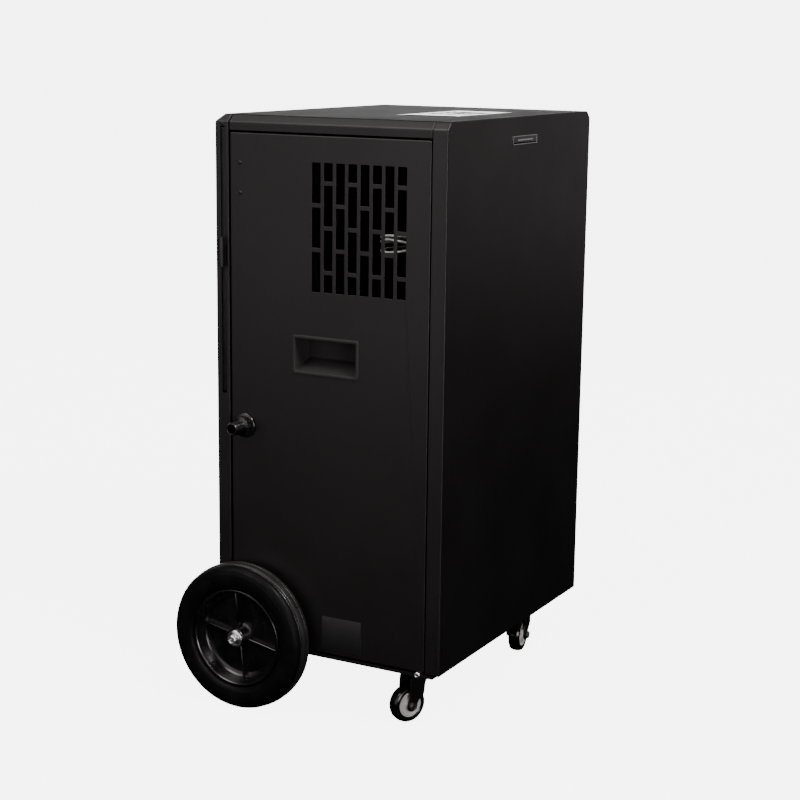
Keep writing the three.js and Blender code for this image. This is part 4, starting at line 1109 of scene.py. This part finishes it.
def studio():
    world = bpy.data.worlds.new("studio")
    bpy.context.scene.world = world
    world.use_nodes = True
    nodes, links = world.node_tree.nodes, world.node_tree.links
    direction = nodes.new("ShaderNodeTexCoord").outputs["Generated"]
    parts = nodes.new("ShaderNodeSeparateXYZ")
    links.new(direction, parts.inputs["Vector"])
    strength = ranged(world.node_tree, parts.outputs["Z"], 0, 0.10, -0.05, 0.5)
    links.new(strength, nodes["Background"].inputs["Strength"])
    nodes["Background"].inputs["Color"].default_value = (1, 0.99, 0.97, 1)
    warm = (1, 0.93, 0.93)
    lamp("overhead", (-1.5, 0.8, 2.9), (-0.2, 0, 0.6), (1.7, 1.7), 44, warm)
    lamp("front_overhead", (-0.75, -1.8, 2.6), (-0.32, 0.1, 0.2), (1.0, 0.7), 75, warm)
    lamp("far_card", (3.0, 1.42, 1.2), (0, -0.11, 1.1), (2.2, 0.5), 10.5)
    lamp("left_card", (-3.4, 0.9, 1.05), (-0.28, 0, 1.0), (2.8, 2.0), 22, warm)
    lamp("right_card", (3.2, -1.8, 1.3), (0, -0.24, 1.2), (2.0, 1.9), 4.2, warm)
    lamp("right_fill", (3.4, 0.1, 1.1), (0.28, 0, 0.6), (1.6, 1.8), 5, warm)
    lamp("rear_card", (1.7, 3.2, 1.0), (0, 0.19, 0.7), (2.4, 1.9), 11, warm)
    lamp("edge_card", (-1.9, -2.45, 0.7), (-0.28, -0.24, 0.7), (1.0, 1.1), 30, warm)
    bm = bmesh.new()
    bmesh.ops.create_circle(bm, cap_ends=True, segments=96, radius=60)
    floor = to_object(bm, "floor", closed=False)
    pale = Finish("pale_floor", (0.5, 0.5, 0.5), 0.9, Emission_Color=(1, 1, 1, 1), Emission_Strength=6)
    pale.bump(pale.noise(3), 0.01, 0.1)
    floor.data.materials.append(pale.material)
    floor.visible_glossy = False
    floor.visible_diffuse = False
    bm = bmesh.new()
    bmesh.ops.create_uvsphere(bm, u_segments=64, v_segments=32, radius=58)
    dome = to_object(bm, "backdrop", closed=False)
    sky = Finish("pale_backdrop", (0, 0, 0), 1, Emission_Color=(1, 1, 1, 1), Emission_Strength=6.1)
    dome.data.materials.append(sky.material)
    for ray in ("visible_glossy", "visible_diffuse", "visible_transmission", "visible_shadow"):
        setattr(dome, ray, False)


camera()
studio()
front_cover()
top_cover()
rear_panel()
for name, side in (("left", -1), ("right", 1)):
    side_door(name, side)
    rear_post(name, side)
    handle_cup(name, side)
    rear_wheel(name, side)
badge()
blank_plate()
cabinet_screws()
control_panel()
filter_unit()
bulkhead()
impeller()
motor()
motor_wires()
fin_pack("condenser", "condenser", 300, 336)
fin_pack("evaporator", "evaporator", 356, 396)
refrigeration()
electrics()
drain()
axle()
caster("left", -1, 154.6)
caster("right", 1, 188)
kept_nodes()
